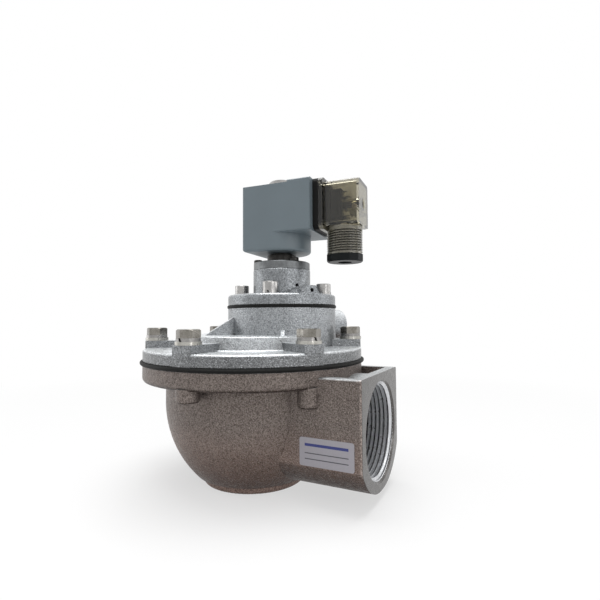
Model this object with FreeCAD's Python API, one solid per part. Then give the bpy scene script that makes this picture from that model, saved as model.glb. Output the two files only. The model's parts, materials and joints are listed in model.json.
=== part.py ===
"""Right-angle pulse valve for a dust collector, with its pilot stage, solenoid coil and plug.

Millimetres, +Z up. The origin is the centre of the bottom port, on its face, and +Z runs
along the valve axis. The side port opens along +X. The pilot stage stands on the main cover,
off the valve axis towards COVER_ANGLE, and the coil and its plug point along PLUG_ANGLE.
"""
import FreeCAD
import Part
import math
import os

# Clearances shared by many fits
THREAD_PLAY = 0.05
SLIDE_PLAY = 0.05
HOLE_PLAY = 0.3
SEAL_PLAY = 0.1

# Pipe ports, parallel pipe thread 1 1/2, and the passages behind them
PORT_RADIUS = 23.9
PORT_DEPTH = 22.0
PORT_CHAMFER = 1.0
SIDE_PASSAGE_RADIUS = 20.5

# Valve body: flange, bowl and bottom boss
BODY_HEIGHT = 65.0
FLANGE_THICKNESS = 9.0
FLANGE_ROUND = 2.5
BOWL_RADIUS = 49.0
BOWL_WALL = 4.6
BOWL_SHELF = 4.1
BOWL_CURVE_TOP = 45.1
BOWL_FOOT = 4.5
BOSS_WALL = 4.3
BOSS_LIP = 3.3
CHAMBER_FLOOR_WIDTH = 3.0

# Seat tube that stands in the bowl
SEAT_BORE_RADIUS = 19.5
SEAT_TUBE_WALL = 4.0
SEAT_DROP = 2.0
SEAT_LAND = 2.1
TUBE_CONE_HEIGHT = 5.5
PORT_SHOULDER = 2.5

# Side port block
BLOCK_OVERHANG = 13.6
BLOCK_HALF_WIDTH = 29.4
BLOCK_DROP = 3.4
PORT_AXIS_HEIGHT = 33.2
BLOCK_SIDE_FOOT = 20.7
BLOCK_HIP_ROUND = 4.0
BLOCK_SOLE_HALF_WIDTH = 19.1
BLOCK_SOLE_HEIGHT = 4.6
BLOCK_SOLE_ROUND = 32.0
BLOCK_EDGE_ROUND = 1.2
POCKET_RIM = 4.8
POCKET_WALL = 3.5
POCKET_FLOOR = 50.0

# Joint of body, main diaphragm and main cover
BOLT_COUNT = 6
BOLT_OUTSET = 6.9
BOLT_MARGIN = 5.2
BOLT_START_ANGLE = 30.0
BOLT_RADIUS = 3.0
BOLT_LENGTH = 25.0
BOLT_HEAD_FLATS = 10.0
BOLT_HEAD_HEIGHT = 4.0
BOLT_HEAD_CHAMFER = 0.5
BOLT_HOLE_DEPTH = 10.5
BOLT_BOSS_RADIUS = 5.6
BOLT_BOSS_ROUND = 1.5
SIDE_BOSS_DEPTH = 5.6
BLOCK_BOSS_DEPTH = 8.8
FLAT_WASHER_RADIUS = 6.25
FLAT_WASHER_THICKNESS = 1.6
SPRING_WASHER_RADIUS = 5.7
SPRING_WASHER_THICKNESS = 1.6
SPRING_WASHER_GAP = 1.0

# Main diaphragm
DIAPHRAGM_THICKNESS = 2.0
DIAPHRAGM_LIP = 1.4
DIAPHRAGM_LIP_ROUND = 0.95
DIAPHRAGM_ROLL_INSET = 11.4
DIAPHRAGM_ROLL_HALF_WIDTH = 4.0
DIAPHRAGM_ROLL_HEIGHT = 3.0
BLEED_HOLE_RADIUS = 0.8
BLEED_HOLE_OUTSET = 3.0

# Moving stack that the main diaphragm carries
UPPER_PLATE_INSET = 6.0
UPPER_PLATE_THICKNESS = 2.0
SEAT_DISC_RADIUS = 22.8
STACK_BOLT_RADIUS = 3.0
STACK_BOLT_HEAD_FLATS = 10.0
STACK_BOLT_HEAD_HEIGHT = 4.0
STACK_WASHER_RADIUS = 9.0
STACK_WASHER_THICKNESS = 1.2
STACK_NUT_HEIGHT = 3.2
STACK_BOLT_TIP = 0.5

# Main spring
MAIN_SPRING_RADIUS = 11.5
MAIN_SPRING_WIRE = 1.5
MAIN_SPRING_TURNS = 3.0
SPRING_SEAT_GAP = 0.1

# Main cover
RIM_THICKNESS = 6.0
RIM_ROUND = 1.3
CONE_INSET = 7.5
CONE_DRAFT = 2.2
CONE_HEIGHT = 7.0
CONE_ROUND = 1.0
LUG_WIDTH = 10.6
LUG_HEIGHT = 3.9
LUG_ROOT = 7.5
WRENCH_SCALLOP_RADIUS = 15.5
CHAMBER_STEP_HEIGHT = 2.6
CHAMBER_STEP_WIDTH = 6.9
COVER_ROOF_THICKNESS = 4.0
SPRING_POCKET_RADIUS = 14.0
SPRING_POCKET_DEPTH = 5.0

# Pilot tower on the main cover
COVER_ANGLE = 60.0
TOWER_MARGIN = 5.3
TOWER_RADIUS = 32.2
TOWER_HEIGHT = 28.0
PILOT_CHAMBER_RADIUS = 21.2
PILOT_CHAMBER_DEPTH = 11.0
PILOT_SEAT_WALL = 3.5
PILOT_SEAT_BORE = 7.5
PILOT_SEAT_DROP = 1.5
PILOT_FEED_RADIUS = 3.5
PILOT_FEED_CIRCLE = 16.5
VENT_BOSS_RADIUS = 9.5
VENT_AXIS_HEIGHT = 18.0
VENT_DUCT_RADIUS = 5.0
VENT_DUCT_WALL = 2.0
VENT_PORT_RADIUS = 6.58
VENT_PORT_DEPTH = 12.0
RIB_THICKNESS = 2.0
RIB_LENGTH = 16.5
RIB_HEIGHT = 10.2
SIDE_RIB_LENGTH = 4.6
SIDE_RIB_HEIGHT = 3.2
SIDE_RIB_SPREAD = 120.0

# Pilot diaphragm and its moving stack
PILOT_DIAPHRAGM_THICKNESS = 1.6
PILOT_DIAPHRAGM_LIP = 0.5
PILOT_ROLL_RADIUS = 16.5
PILOT_ROLL_HALF_WIDTH = 2.6
PILOT_ROLL_HEIGHT = 1.6
PILOT_TRAVEL = 3.0
PILOT_PLATE_RADIUS = 12.0
PILOT_PLATE_THICKNESS = 1.5
PILOT_DISC_RADIUS = 10.4
RIVET_RADIUS = 2.0
RIVET_HEAD_RADIUS = 4.0
RIVET_HEAD_HEIGHT = 1.2
PILOT_SPRING_RADIUS = 6.6
PILOT_SPRING_WIRE = 1.0
PILOT_SPRING_TURNS = 3.5

# Pilot cover
PILOT_FLANGE_THICKNESS = 6.2
PILOT_FLANGE_ROUND = 1.6
HUB_RADIUS = 17.2
HUB_HEIGHT = 15.0
HUB_FOOT_ROUND = 1.2
PILOT_ROOF_DEPTH = 3.0
PILOT_PLATE_POCKET_RADIUS = 13.2
PILOT_SPRING_POCKET_RADIUS = 8.6
PILOT_SPRING_POCKET_DEPTH = 11.4
RIDGE_HEIGHT = 4.2
RIDGE_TOP_HALF_WIDTH = 3.1
RIDGE_FOOT_HALF_WIDTH = 4.9
RIDGE_FLARE = 2.6
RIDGE_TOP_ROUND = 1.8
RIDGE_FOOT_ROUND = 1.6
RIDGE_ANGLE = -90.0
PAD_RADIUS = 4.0
PAD_HEIGHT = 2.0
PAD_ANGLE = -104.0
PAD_CIRCLE = 24.0
NOZZLE_RECESS_RADIUS = 8.6
NOZZLE_RECESS_DEPTH = 4.0
NOZZLE_RADIUS = 2.4
NOZZLE_HEIGHT = 2.5
NOZZLE_BORE = 1.2
EXHAUST_RADIUS = 1.1
EXHAUST_START = 23.5
EXHAUST_RISE = 1.5
EXHAUST_END = 6.6

# Pilot cover screws
SCREW_COUNT = 4
SCREW_START_ANGLE = 45.0
SCREW_CIRCLE = 25.5
SCREW_RADIUS = 2.5
SCREW_LENGTH = 18.0
SCREW_HEAD_RADIUS = 4.25
SCREW_HEAD_HEIGHT = 5.0
SCREW_SOCKET_FLATS = 4.0
SCREW_SOCKET_DEPTH = 2.5
SCREW_WASHER_RADIUS = 4.4
SCREW_WASHER_THICKNESS = 1.5
SCREW_HOLE_DEPTH = 10.5

# Armature tube, its clamp plate and seal
TUBE_FLANGE_RADIUS = 12.0
TUBE_FLANGE_THICKNESS = 1.5
TUBE_NECK_RADIUS = 8.8
TUBE_NECK_HEIGHT = 9.3
TUBE_RADIUS = 6.5
TUBE_BORE_RADIUS = 5.5
TUBE_HEIGHT = 42.0
PLATE_RADIUS = 17.0
PLATE_THICKNESS = 4.7
PLATE_EDGE_ROUND = 0.8
TUBE_SCREW_COUNT = 3
TUBE_SCREW_START_ANGLE = 30.0
TUBE_SCREW_CIRCLE = 14.3
TUBE_SCREW_RADIUS = 1.5
TUBE_SCREW_LENGTH = 10.0
TUBE_SCREW_HEAD_RADIUS = 2.6
TUBE_SCREW_HEAD_HEIGHT = 1.9
O_RING_RADIUS = 10.3
O_RING_SECTION = 0.7
O_RING_GROOVE_DEPTH = 1.3

# Fixed core, plunger and plunger spring
CORE_SHOULDER = 1.5
CORE_LENGTH = 12.0
STUD_RADIUS = 4.0
STUD_HEIGHT = 10.0
SHADING_RING_OUTER = 4.4
SHADING_RING_INNER = 3.4
SHADING_RING_HEIGHT = 1.2
PLUNGER_TRAVEL = 1.8
PLUNGER_LIFT_OFF = 1.0
PLUNGER_BORE = 2.4
PLUNGER_BORE_DEPTH = 12.0
PLUNGER_SEAL_RADIUS = 3.0
PLUNGER_SEAL_HEIGHT = 2.6
PLUNGER_SPRING_RADIUS = 1.75
PLUNGER_SPRING_WIRE = 0.5
PLUNGER_SPRING_TURNS = 7.0

# Coil
PLUG_ANGLE = 5.0
COIL_BACK = 17.4
COIL_HALF_WIDTH = 17.8
COIL_HEIGHT = 38.3
COIL_ROUND = 1.0
COIL_FOOT_ROUND = 1.6
COIL_LIFT = 5.5
COIL_NOSE_REACH = 25.0
COIL_NOSE_START = 11.2
COIL_NOSE_FOOT = 10.2
COIL_NOSE_RISE = 1.4
COIL_WASHER_RADIUS = 8.0
COIL_WASHER_THICKNESS = 1.0
COIL_NUT_FLATS = 14.0
COIL_NUT_HEIGHT = 4.7
COIL_NUT_TURN = 24.0

# Terminals of the coil
TERMINAL_WIDTH = 6.3
TERMINAL_THICKNESS = 0.8
TERMINAL_ROOT = 6.0
TERMINAL_REACH = 9.0
TERMINAL_SPREAD = 5.5

# Plug gasket, housing and gland
PLUG_AXIS_RISE = 15.4
GASKET_THICKNESS = 3.4
GASKET_HALF_WIDTH = 13.2
GASKET_HEIGHT = 29.4
GASKET_ROUND = 3.0
GASKET_WINDOW_HALF_WIDTH = 8.0
GASKET_WINDOW_HEIGHT = 18.0
PLUG_FOOT_THICKNESS = 2.4
PLUG_HALF_WIDTH = 10.4
PLUG_HEIGHT = 25.4
PLUG_REACH = 22.6
PLUG_WALL = 1.6
PLUG_ROUND = 1.6
GLAND_CENTRE = 11.4
GLAND_RADIUS = 10.2
GLAND_LENGTH = 15.8
GLAND_WALL = 1.8
PLUG_SCREW_RADIUS = 1.5
PLUG_SCREW_HEAD_RADIUS = 2.7
PLUG_SCREW_HEAD_HEIGHT = 1.8
PLUG_SCREW_SLEEVE = 3.6
PLUG_SCREW_RECESS = 2.4
PLUG_SCREW_GRIP = 8.0

# Terminal carrier and what it holds
CARRIER_HALF_WIDTH = 8.4
CARRIER_HEIGHT = 21.0
CARRIER_DEPTH = 5.6
CARRIER_HEAD_HALF_WIDTH = 7.4
CARRIER_HEAD_HEIGHT = 17.6
CARRIER_HEAD_DEPTH = 5.6
CARRIER_ROUND = 2.4
CONTACT_WIDTH = 6.9
CONTACT_THICKNESS = 2.4
CONTACT_REACH = 4.6
CONTACT_SCREW_RADIUS = 1.3
CONTACT_SCREW_HEAD_RADIUS = 2.1
CONTACT_SCREW_HEAD_HEIGHT = 1.4
CONTACT_SLOT_HALF_WIDTH = 0.25
CONTACT_SLOT_DEPTH = 0.6
BOARD_THICKNESS = 1.2
BOARD_DROP = 5.2
BOARD_HALF_WIDTH = 8.4
LAMP_RADIUS = 1.5
LAMP_HEIGHT = 3.4

# Gland fittings
GLAND_NUT_HEAD_HEIGHT = 4.2
GLAND_NUT_SIDES = 12
GLAND_NUT_SHANK = 5.6
GLAND_NUT_BORE = 4.0
GLAND_WASHER_THICKNESS = 0.8
GLAND_WASHER_BORE = 4.6
GROMMET_HEIGHT = 6.2
GROMMET_BORE = 3.4

# Straight runs in one turn of a spring's wire
SPRING_RUNS = 16

# Radii that follow from the bowl
BOLT_CIRCLE = BOWL_RADIUS + BOLT_OUTSET
FLANGE_RADIUS = BOLT_CIRCLE + BOLT_MARGIN
BLOCK_REACH = FLANGE_RADIUS + BLOCK_OVERHANG
CHAMBER_RADIUS = BOWL_RADIUS - BOWL_WALL
DIAPHRAGM_ROLL_RADIUS = CHAMBER_RADIUS - DIAPHRAGM_ROLL_INSET
UPPER_PLATE_RADIUS = DIAPHRAGM_ROLL_RADIUS - UPPER_PLATE_INSET
CHAMBER_ROOF_RADIUS = CHAMBER_RADIUS - CHAMBER_STEP_WIDTH
CONE_BASE_RADIUS = BOWL_RADIUS - CONE_INSET
CONE_TOP_RADIUS = CONE_BASE_RADIUS - CONE_DRAFT
LUG_INNER_RADIUS = CONE_BASE_RADIUS - LUG_ROOT
TOWER_OFFSET = BOLT_CIRCLE - TOWER_MARGIN - TOWER_RADIUS

# Curve of the bowl's side, from its top down to a shelf round the bottom boss
BOSS_RADIUS = PORT_RADIUS + BOSS_WALL
BOWL_INSET = BOWL_RADIUS - BOSS_RADIUS - BOWL_SHELF
BOWL_DROP = BOWL_CURVE_TOP - BOWL_FOOT
BOWL_CURVE = (BOWL_DROP ** 2 + BOWL_INSET ** 2) / (2 * BOWL_INSET)

# Heights and places that follow from the sizes above
COVER_BASE = BODY_HEIGHT + DIAPHRAGM_THICKNESS
RIM_TOP = COVER_BASE + RIM_THICKNESS
PLATEAU = RIM_TOP + CONE_HEIGHT
LUG_TOP = RIM_TOP + LUG_HEIGHT
CHAMBER_ROOF = PLATEAU - COVER_ROOF_THICKNESS
SPRING_ROOF = CHAMBER_ROOF + SPRING_POCKET_DEPTH
TOWER_TOP = COVER_BASE + TOWER_HEIGHT
PILOT_FLOOR = TOWER_TOP - PILOT_CHAMBER_DEPTH
VENT_HEIGHT = COVER_BASE + VENT_AXIS_HEIGHT
PILOT_BASE = TOWER_TOP + PILOT_DIAPHRAGM_THICKNESS
PILOT_FLANGE_TOP = PILOT_BASE + PILOT_FLANGE_THICKNESS
HUB_TOP = PILOT_FLANGE_TOP + HUB_HEIGHT
PILOT_SPRING_ROOF = PILOT_BASE + PILOT_SPRING_POCKET_DEPTH
PLATE_TOP = HUB_TOP + PLATE_THICKNESS
TUBE_TOP = HUB_TOP + TUBE_HEIGHT
CORE_FACE = TUBE_TOP - CORE_LENGTH
NOZZLE_TOP = HUB_TOP - NOZZLE_RECESS_DEPTH + NOZZLE_HEIGHT
COIL_BASE = PLATE_TOP + COIL_LIFT
COIL_TOP = COIL_BASE + COIL_HEIGHT
COIL_NOSE_LOW = COIL_BASE + COIL_NOSE_FOOT
PLUG_AXIS_HEIGHT = COIL_NOSE_LOW + PLUG_AXIS_RISE
SEAT_HEIGHT = BODY_HEIGHT - SEAT_DROP
PILOT_SEAT_HEIGHT = TOWER_TOP - PILOT_SEAT_DROP
SEAT_TUBE_RADIUS = SEAT_BORE_RADIUS + SEAT_TUBE_WALL
BLOCK_TOP = BODY_HEIGHT - BLOCK_DROP
GASKET_FACE = COIL_NOSE_REACH + GASKET_THICKNESS
PLUG_END = GASKET_FACE + PLUG_REACH
GLAND_AXIS = GASKET_FACE + GLAND_CENTRE
PLUG_FLOOR = PLUG_AXIS_HEIGHT - PLUG_HEIGHT / 2
GLAND_END = PLUG_FLOOR - GLAND_LENGTH
GLAND_BORE_RADIUS = GLAND_RADIUS - GLAND_WALL

ORIGIN = FreeCAD.Vector(0, 0, 0)
UP = FreeCAD.Vector(0, 0, 1)
TOWER_CENTRE = FreeCAD.Vector(
    TOWER_OFFSET * math.cos(math.radians(COVER_ANGLE)),
    TOWER_OFFSET * math.sin(math.radians(COVER_ANGLE)),
    0,
)


def side_point(across, height):
    """A point in the upright plane through the X axis."""
    return FreeCAD.Vector(across, 0, height)


def plan_point(along, across):
    """A point in the level plane."""
    return FreeCAD.Vector(along, across, 0)


def port_point(across, height):
    """A point in the upright plane through the Y axis."""
    return FreeCAD.Vector(0, across, height)


def rounded_face(corners, place):
    """Face inside a polygon whose corners are (first, second, rounding)."""
    starts = []
    middles = []
    ends = []
    count = len(corners)
    for index, (first, second, rounding) in enumerate(corners):
        corner = place(first, second)
        before = corners[index - 1]
        after = corners[(index + 1) % count]
        back = place(before[0], before[1]).sub(corner).normalize()
        ahead = place(after[0], after[1]).sub(corner).normalize()
        half_angle = back.getAngle(ahead) / 2
        reach = rounding / math.tan(half_angle)
        bisector = back.add(ahead)
        if rounding > 0:
            bisector.normalize()
        depth = rounding / math.sin(half_angle) - rounding
        starts.append(corner.add(back.multiply(reach)))
        ends.append(corner.add(ahead.multiply(reach)))
        middles.append(corner.add(bisector.multiply(depth)))
    edges = []
    for index in range(count):
        if corners[index][2] > 0:
            edges.append(Part.Arc(starts[index], middles[index], ends[index]).toShape())
        following = starts[(index + 1) % count]
        if ends[index].distanceToPoint(following) > 1e-6:
            edges.append(Part.LineSegment(ends[index], following).toShape())
    return Part.Face(Part.Wire(edges))


def turned(corners):
    """Solid turned about the Z axis from (radius, height, rounding) corners."""
    return rounded_face(corners, side_point).revolve(ORIGIN, UP, 360)


def prism(corners, low, high):
    """Upright prism on a plan outline of (x, y, rounding) corners."""
    face = rounded_face(corners, plan_point)
    face.translate(FreeCAD.Vector(0, 0, low))
    return face.extrude(FreeCAD.Vector(0, 0, high - low))


def rod(radius, low, high):
    """Upright cylinder on the Z axis."""
    return Part.makeCylinder(radius, high - low, FreeCAD.Vector(0, 0, low))


def ring(outer, inner, low, high):
    """Upright tube on the Z axis."""
    return rod(outer, low, high).cut(rod(inner, low, high))


def level_rod(radius, start, end, height):
    """Cylinder along X at one height."""
    return Part.makeCylinder(radius, end - start, FreeCAD.Vector(start, 0, height), FreeCAD.Vector(1, 0, 0))


def level_box(start, end, half_width, low, high):
    """Box that is centred on the X axis."""
    corner = FreeCAD.Vector(start, -half_width, low)
    return Part.makeBox(end - start, 2 * half_width, high - low, corner)


def rounded_block(start, end, half_width, low, high, rounding):
    """Block along X with its four long edges rounded."""
    corners = [
        (-half_width, low, rounding),
        (half_width, low, rounding),
        (half_width, high, rounding),
        (-half_width, high, rounding),
    ]
    face = rounded_face(corners, port_point)
    face.translate(FreeCAD.Vector(start, 0, 0))
    return face.extrude(FreeCAD.Vector(end - start, 0, 0))


def hexagon(flats, low, high, chamfer=0.0):
    """Hexagon bar with the top corners turned off by the chamfer."""
    radius = flats / math.sqrt(3)
    corners = []
    for step in range(6):
        turn = math.radians(60 * step)
        corners.append((radius * math.cos(turn), radius * math.sin(turn), 0))
    bar = prism(corners, low, high)
    if chamfer > 0:
        cone = turned([
            (0, low, 0),
            (radius, low, 0),
            (radius, high - chamfer, 0),
            (flats / 2, high, 0),
            (0, high, 0),
        ])
        bar = bar.common(cone)
    return bar


def moved(shape, along=0.0, across=0.0, height=0.0):
    """Copy of a shape, shifted."""
    copy = shape.copy()
    copy.translate(FreeCAD.Vector(along, across, height))
    return copy


def around(shape, circle, count, start):
    """Copies of a shape on a circle about the Z axis."""
    copies = []
    for step in range(count):
        copy = moved(shape, circle)
        copy.rotate(ORIGIN, UP, start + step * 360.0 / count)
        copies.append(copy)
    return copies


def cut_all(shape, tools):
    """Shape less every tool."""
    return shape.cut(tools[0].fuse(tools[1:]) if len(tools) > 1 else tools[0])


def on_tower(shape):
    """Shape made about the Z axis, put on the pilot tower with +X towards the vent boss."""
    copy = shape.copy()
    copy.rotate(ORIGIN, UP, COVER_ANGLE)
    copy.translate(TOWER_CENTRE)
    return copy


def on_coil(shape):
    """Shape made about the Z axis, put on the coil axis with +X towards the plug."""
    copy = shape.copy()
    copy.rotate(ORIGIN, UP, PLUG_ANGLE)
    copy.translate(TOWER_CENTRE)
    return copy


def spring(radius, wire, turns, low, high):
    """Round-wire spring between two seats, mitred from short runs along a helix."""
    rise = high - low - wire
    runs = round(turns * SPRING_RUNS)
    points = []
    for step in range(runs + 1):
        turn = 2 * math.pi * turns * step / runs
        points.append(FreeCAD.Vector(radius * math.cos(turn), radius * math.sin(turn), rise * step / runs))
    section = Part.Wire(Part.makeCircle(wire / 2, points[0], points[1].sub(points[0])))
    coil = Part.makePolygon(points).makePipeShell([section], True, False, 1)
    return moved(coil, height=low + wire / 2)


def split_washer(outer, inner, low, high):
    """Spring lock washer with a slanting cut."""
    washer = ring(outer, inner, low, high)
    slot = level_box(0, outer + 1, SPRING_WASHER_GAP / 2, low - 1, high + 1)
    slot.rotate(FreeCAD.Vector(0, 0, (low + high) / 2), FreeCAD.Vector(1, 0, 0), 25)
    return washer.cut(slot)


def bowl_corners(radius, curve, foot):
    """Foot point and rounded corner of the bowl's side for one skin of its wall."""
    drop = BOWL_CURVE_TOP - foot
    sweep = math.asin(drop / curve)
    foot_radius = radius - curve * (1 - math.cos(sweep))
    corner_height = BOWL_CURVE_TOP - curve * math.tan(sweep / 2)
    return [(foot_radius, foot, 0), (radius, corner_height, curve)]


def body_outside():
    """Flange, bowl and bottom boss as one turned solid."""
    underside = BODY_HEIGHT - FLANGE_THICKNESS
    corners = [(0, 0, 0), (BOSS_RADIUS, 0, 0.5), (BOSS_RADIUS, BOSS_LIP, 0.8)]
    corners += bowl_corners(BOWL_RADIUS, BOWL_CURVE, BOWL_FOOT)
    corners += [
        (BOWL_RADIUS, underside, 2.0),
        (FLANGE_RADIUS, underside, FLANGE_ROUND),
        (FLANGE_RADIUS, BODY_HEIGHT, 0.4),
        (0, BODY_HEIGHT, 0),
    ]
    return turned(corners)


def seat_tube():
    """Solid form of the tube that carries the main seat, before it is bored."""
    shoulder = PORT_DEPTH + PORT_SHOULDER
    return turned([
        (0, 0, 0),
        (BOSS_RADIUS, 0, 0),
        (BOSS_RADIUS, shoulder, 1.5),
        (SEAT_TUBE_RADIUS, shoulder + TUBE_CONE_HEIGHT, 1.5),
        (SEAT_TUBE_RADIUS, SEAT_HEIGHT - SEAT_DROP, 0.5),
        (SEAT_BORE_RADIUS + SEAT_LAND, SEAT_HEIGHT, 0.4),
        (0, SEAT_HEIGHT, 0),
    ])


def bowl_inside():
    """Space that the bowl's wall encloses."""
    radius = BOWL_RADIUS - BOWL_WALL
    curve = BOWL_CURVE - BOWL_WALL
    floor_radius = BOSS_RADIUS + CHAMBER_FLOOR_WIDTH
    sweep = math.acos(1 - (radius - floor_radius) / curve)
    floor = BOWL_CURVE_TOP - curve * math.sin(sweep)
    corners = [(0, floor, 0)]
    corners += bowl_corners(radius, curve, floor)
    corners += [(radius, BODY_HEIGHT, 0), (0, BODY_HEIGHT, 0)]
    return turned(corners)


def port_block():
    """Side port block, square above and round below."""
    outline = [
        (-BLOCK_SOLE_HALF_WIDTH, BLOCK_SOLE_HEIGHT, BLOCK_SOLE_ROUND),
        (BLOCK_SOLE_HALF_WIDTH, BLOCK_SOLE_HEIGHT, BLOCK_SOLE_ROUND),
        (BLOCK_HALF_WIDTH, BLOCK_SIDE_FOOT, BLOCK_HIP_ROUND),
        (BLOCK_HALF_WIDTH, BLOCK_TOP, BLOCK_EDGE_ROUND),
        (-BLOCK_HALF_WIDTH, BLOCK_TOP, BLOCK_EDGE_ROUND),
        (-BLOCK_HALF_WIDTH, BLOCK_SIDE_FOOT, BLOCK_HIP_ROUND),
    ]
    face = rounded_face(outline, port_point)
    face.translate(FreeCAD.Vector(SEAT_BORE_RADIUS, 0, 0))
    return face.extrude(FreeCAD.Vector(BLOCK_REACH - SEAT_BORE_RADIUS, 0, 0))


def bolt_boss(depth):
    """Round boss about the Z axis that hangs under the flange."""
    top = BODY_HEIGHT - FLANGE_THICKNESS
    return turned([
        (0, top - depth, 0),
        (BOLT_BOSS_RADIUS, top - depth, BOLT_BOSS_ROUND),
        (BOLT_BOSS_RADIUS, top + 1, 0),
        (0, top + 1, 0),
    ])


def bolt_bosses():
    """Bosses under the flange, deep beside the block and shallow at the sides."""
    bosses = []
    for angle, depth in ((30, BLOCK_BOSS_DEPTH), (90, SIDE_BOSS_DEPTH)):
        bosses += around(bolt_boss(depth), BOLT_CIRCLE, 1, angle)
        bosses += around(bolt_boss(depth), BOLT_CIRCLE, 1, -angle)
    return bosses


def block_pocket():
    """Lightening pocket in the block's top, over the round of the port."""
    far = BLOCK_REACH - POCKET_RIM
    box = level_box(BOWL_RADIUS, far, BLOCK_HALF_WIDTH - POCKET_RIM, POCKET_FLOOR, BLOCK_TOP + 1)
    port_wall = level_rod(PORT_RADIUS + POCKET_WALL, 0, BLOCK_REACH, PORT_AXIS_HEIGHT)
    return box.cut(port_wall).cut(rod(FLANGE_RADIUS, 0, BODY_HEIGHT))


def side_port():
    """Threaded mouth and inner passage of the side port."""
    thread_end = BLOCK_REACH - PORT_DEPTH
    mouth = level_rod(PORT_RADIUS, thread_end, BLOCK_REACH + 1, PORT_AXIS_HEIGHT)
    passage = level_rod(SIDE_PASSAGE_RADIUS, 0, thread_end + 1, PORT_AXIS_HEIGHT).cut(seat_tube())
    chamfer = Part.makeCone(
        PORT_RADIUS,
        PORT_RADIUS + PORT_CHAMFER,
        PORT_CHAMFER,
        FreeCAD.Vector(BLOCK_REACH - PORT_CHAMFER, 0, PORT_AXIS_HEIGHT),
        FreeCAD.Vector(1, 0, 0),
    )
    return mouth.fuse([passage, chamfer])


def bottom_port():
    """Threaded mouth of the bottom port and the seat bore above it."""
    return turned([
        (0, -1, 0),
        (PORT_RADIUS, -1, 0),
        (PORT_RADIUS, PORT_DEPTH, 0),
        (SEAT_BORE_RADIUS, PORT_DEPTH, 0),
        (SEAT_BORE_RADIUS, SEAT_HEIGHT + 1, 0),
        (0, SEAT_HEIGHT + 1, 0),
    ])


def valve_body():
    """Cast body with both pipe ports, the seat tube and the tapped flange."""
    outside = body_outside().fuse([port_block()] + bolt_bosses()).removeSplitter().cut(block_pocket())
    chamber = bowl_inside().cut(seat_tube())
    tapped = rod(BOLT_RADIUS + THREAD_PLAY, BODY_HEIGHT - BOLT_HOLE_DEPTH, BODY_HEIGHT + 1)
    holes = around(tapped, BOLT_CIRCLE, BOLT_COUNT, BOLT_START_ANGLE)
    return cut_all(outside, [chamber, side_port(), bottom_port()]).cut(holes[0].fuse(holes[1:]))


def roll(radius, half_width, height, thickness, base):
    """Half-round ring that stands up on a diaphragm, and the hollow below it."""
    outer = turned([
        (radius - half_width, base, 0),
        (radius + half_width, base, 0),
        (radius + half_width, base + thickness + height, half_width * 0.8),
        (radius - half_width, base + thickness + height, half_width * 0.8),
    ])
    inner_width = half_width - thickness
    inner = turned([
        (radius - inner_width, base, 0),
        (radius + inner_width, base, 0),
        (radius + inner_width, base + height, inner_width * 0.8),
        (radius - inner_width, base + height, inner_width * 0.8),
    ])
    return outer, inner


def main_diaphragm():
    """Rubber diaphragm with a round lip, a rolled ring, bolt holes and a bleed hole."""
    lip_radius = FLANGE_RADIUS + DIAPHRAGM_LIP
    sheet = turned([
        (0, BODY_HEIGHT, 0),
        (lip_radius, BODY_HEIGHT, DIAPHRAGM_LIP_ROUND),
        (lip_radius, COVER_BASE, DIAPHRAGM_LIP_ROUND),
        (0, COVER_BASE, 0),
    ])
    outer, inner = roll(
        DIAPHRAGM_ROLL_RADIUS,
        DIAPHRAGM_ROLL_HALF_WIDTH,
        DIAPHRAGM_ROLL_HEIGHT,
        DIAPHRAGM_THICKNESS,
        BODY_HEIGHT,
    )
    bolt_hole = rod(BOLT_RADIUS + HOLE_PLAY, BODY_HEIGHT - 1, COVER_BASE + 1)
    bleed = rod(BLEED_HOLE_RADIUS, BODY_HEIGHT - 1, COVER_BASE + 1)
    bleed = moved(bleed, -(CHAMBER_ROOF_RADIUS + BLEED_HOLE_OUTSET))
    centre_hole = rod(STACK_BOLT_RADIUS + SEAL_PLAY, BODY_HEIGHT - 1, COVER_BASE + 1)
    holes = around(bolt_hole, BOLT_CIRCLE, BOLT_COUNT, BOLT_START_ANGLE)
    return cut_all(sheet.fuse(outer), [inner, bleed, centre_hole] + holes)


def main_upper_plate():
    """Dished steel plate on top of the main diaphragm."""
    top = COVER_BASE + UPPER_PLATE_THICKNESS
    plate = turned([
        (STACK_BOLT_RADIUS + SEAL_PLAY, COVER_BASE, 0),
        (UPPER_PLATE_RADIUS, COVER_BASE, 0.6),
        (UPPER_PLATE_RADIUS, top, 0.6),
        (STACK_BOLT_RADIUS + SEAL_PLAY, top, 0),
    ])
    return plate


def main_seat_disc():
    """Sealing disc under the main diaphragm, resting on the seat."""
    return turned([
        (STACK_BOLT_RADIUS + SEAL_PLAY, SEAT_HEIGHT, 0),
        (SEAT_DISC_RADIUS, SEAT_HEIGHT, 0.3),
        (SEAT_DISC_RADIUS, BODY_HEIGHT, 0.6),
        (STACK_BOLT_RADIUS + SEAL_PLAY, BODY_HEIGHT, 0),
    ])


def main_stack_washer():
    """Washer between the seat disc and the bolt head."""
    low = SEAT_HEIGHT - STACK_WASHER_THICKNESS
    return ring(STACK_WASHER_RADIUS, STACK_BOLT_RADIUS + SEAL_PLAY, low, SEAT_HEIGHT)


def main_stack_bolt():
    """Bolt that clamps disc, diaphragm and plate together from below."""
    head_top = SEAT_HEIGHT - STACK_WASHER_THICKNESS
    head_low = head_top - STACK_BOLT_HEAD_HEIGHT
    head = hexagon(STACK_BOLT_HEAD_FLATS, head_low, head_top)
    tip = COVER_BASE + UPPER_PLATE_THICKNESS + STACK_NUT_HEIGHT + STACK_BOLT_TIP
    return head.fuse(rod(STACK_BOLT_RADIUS, head_low, tip))


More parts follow.
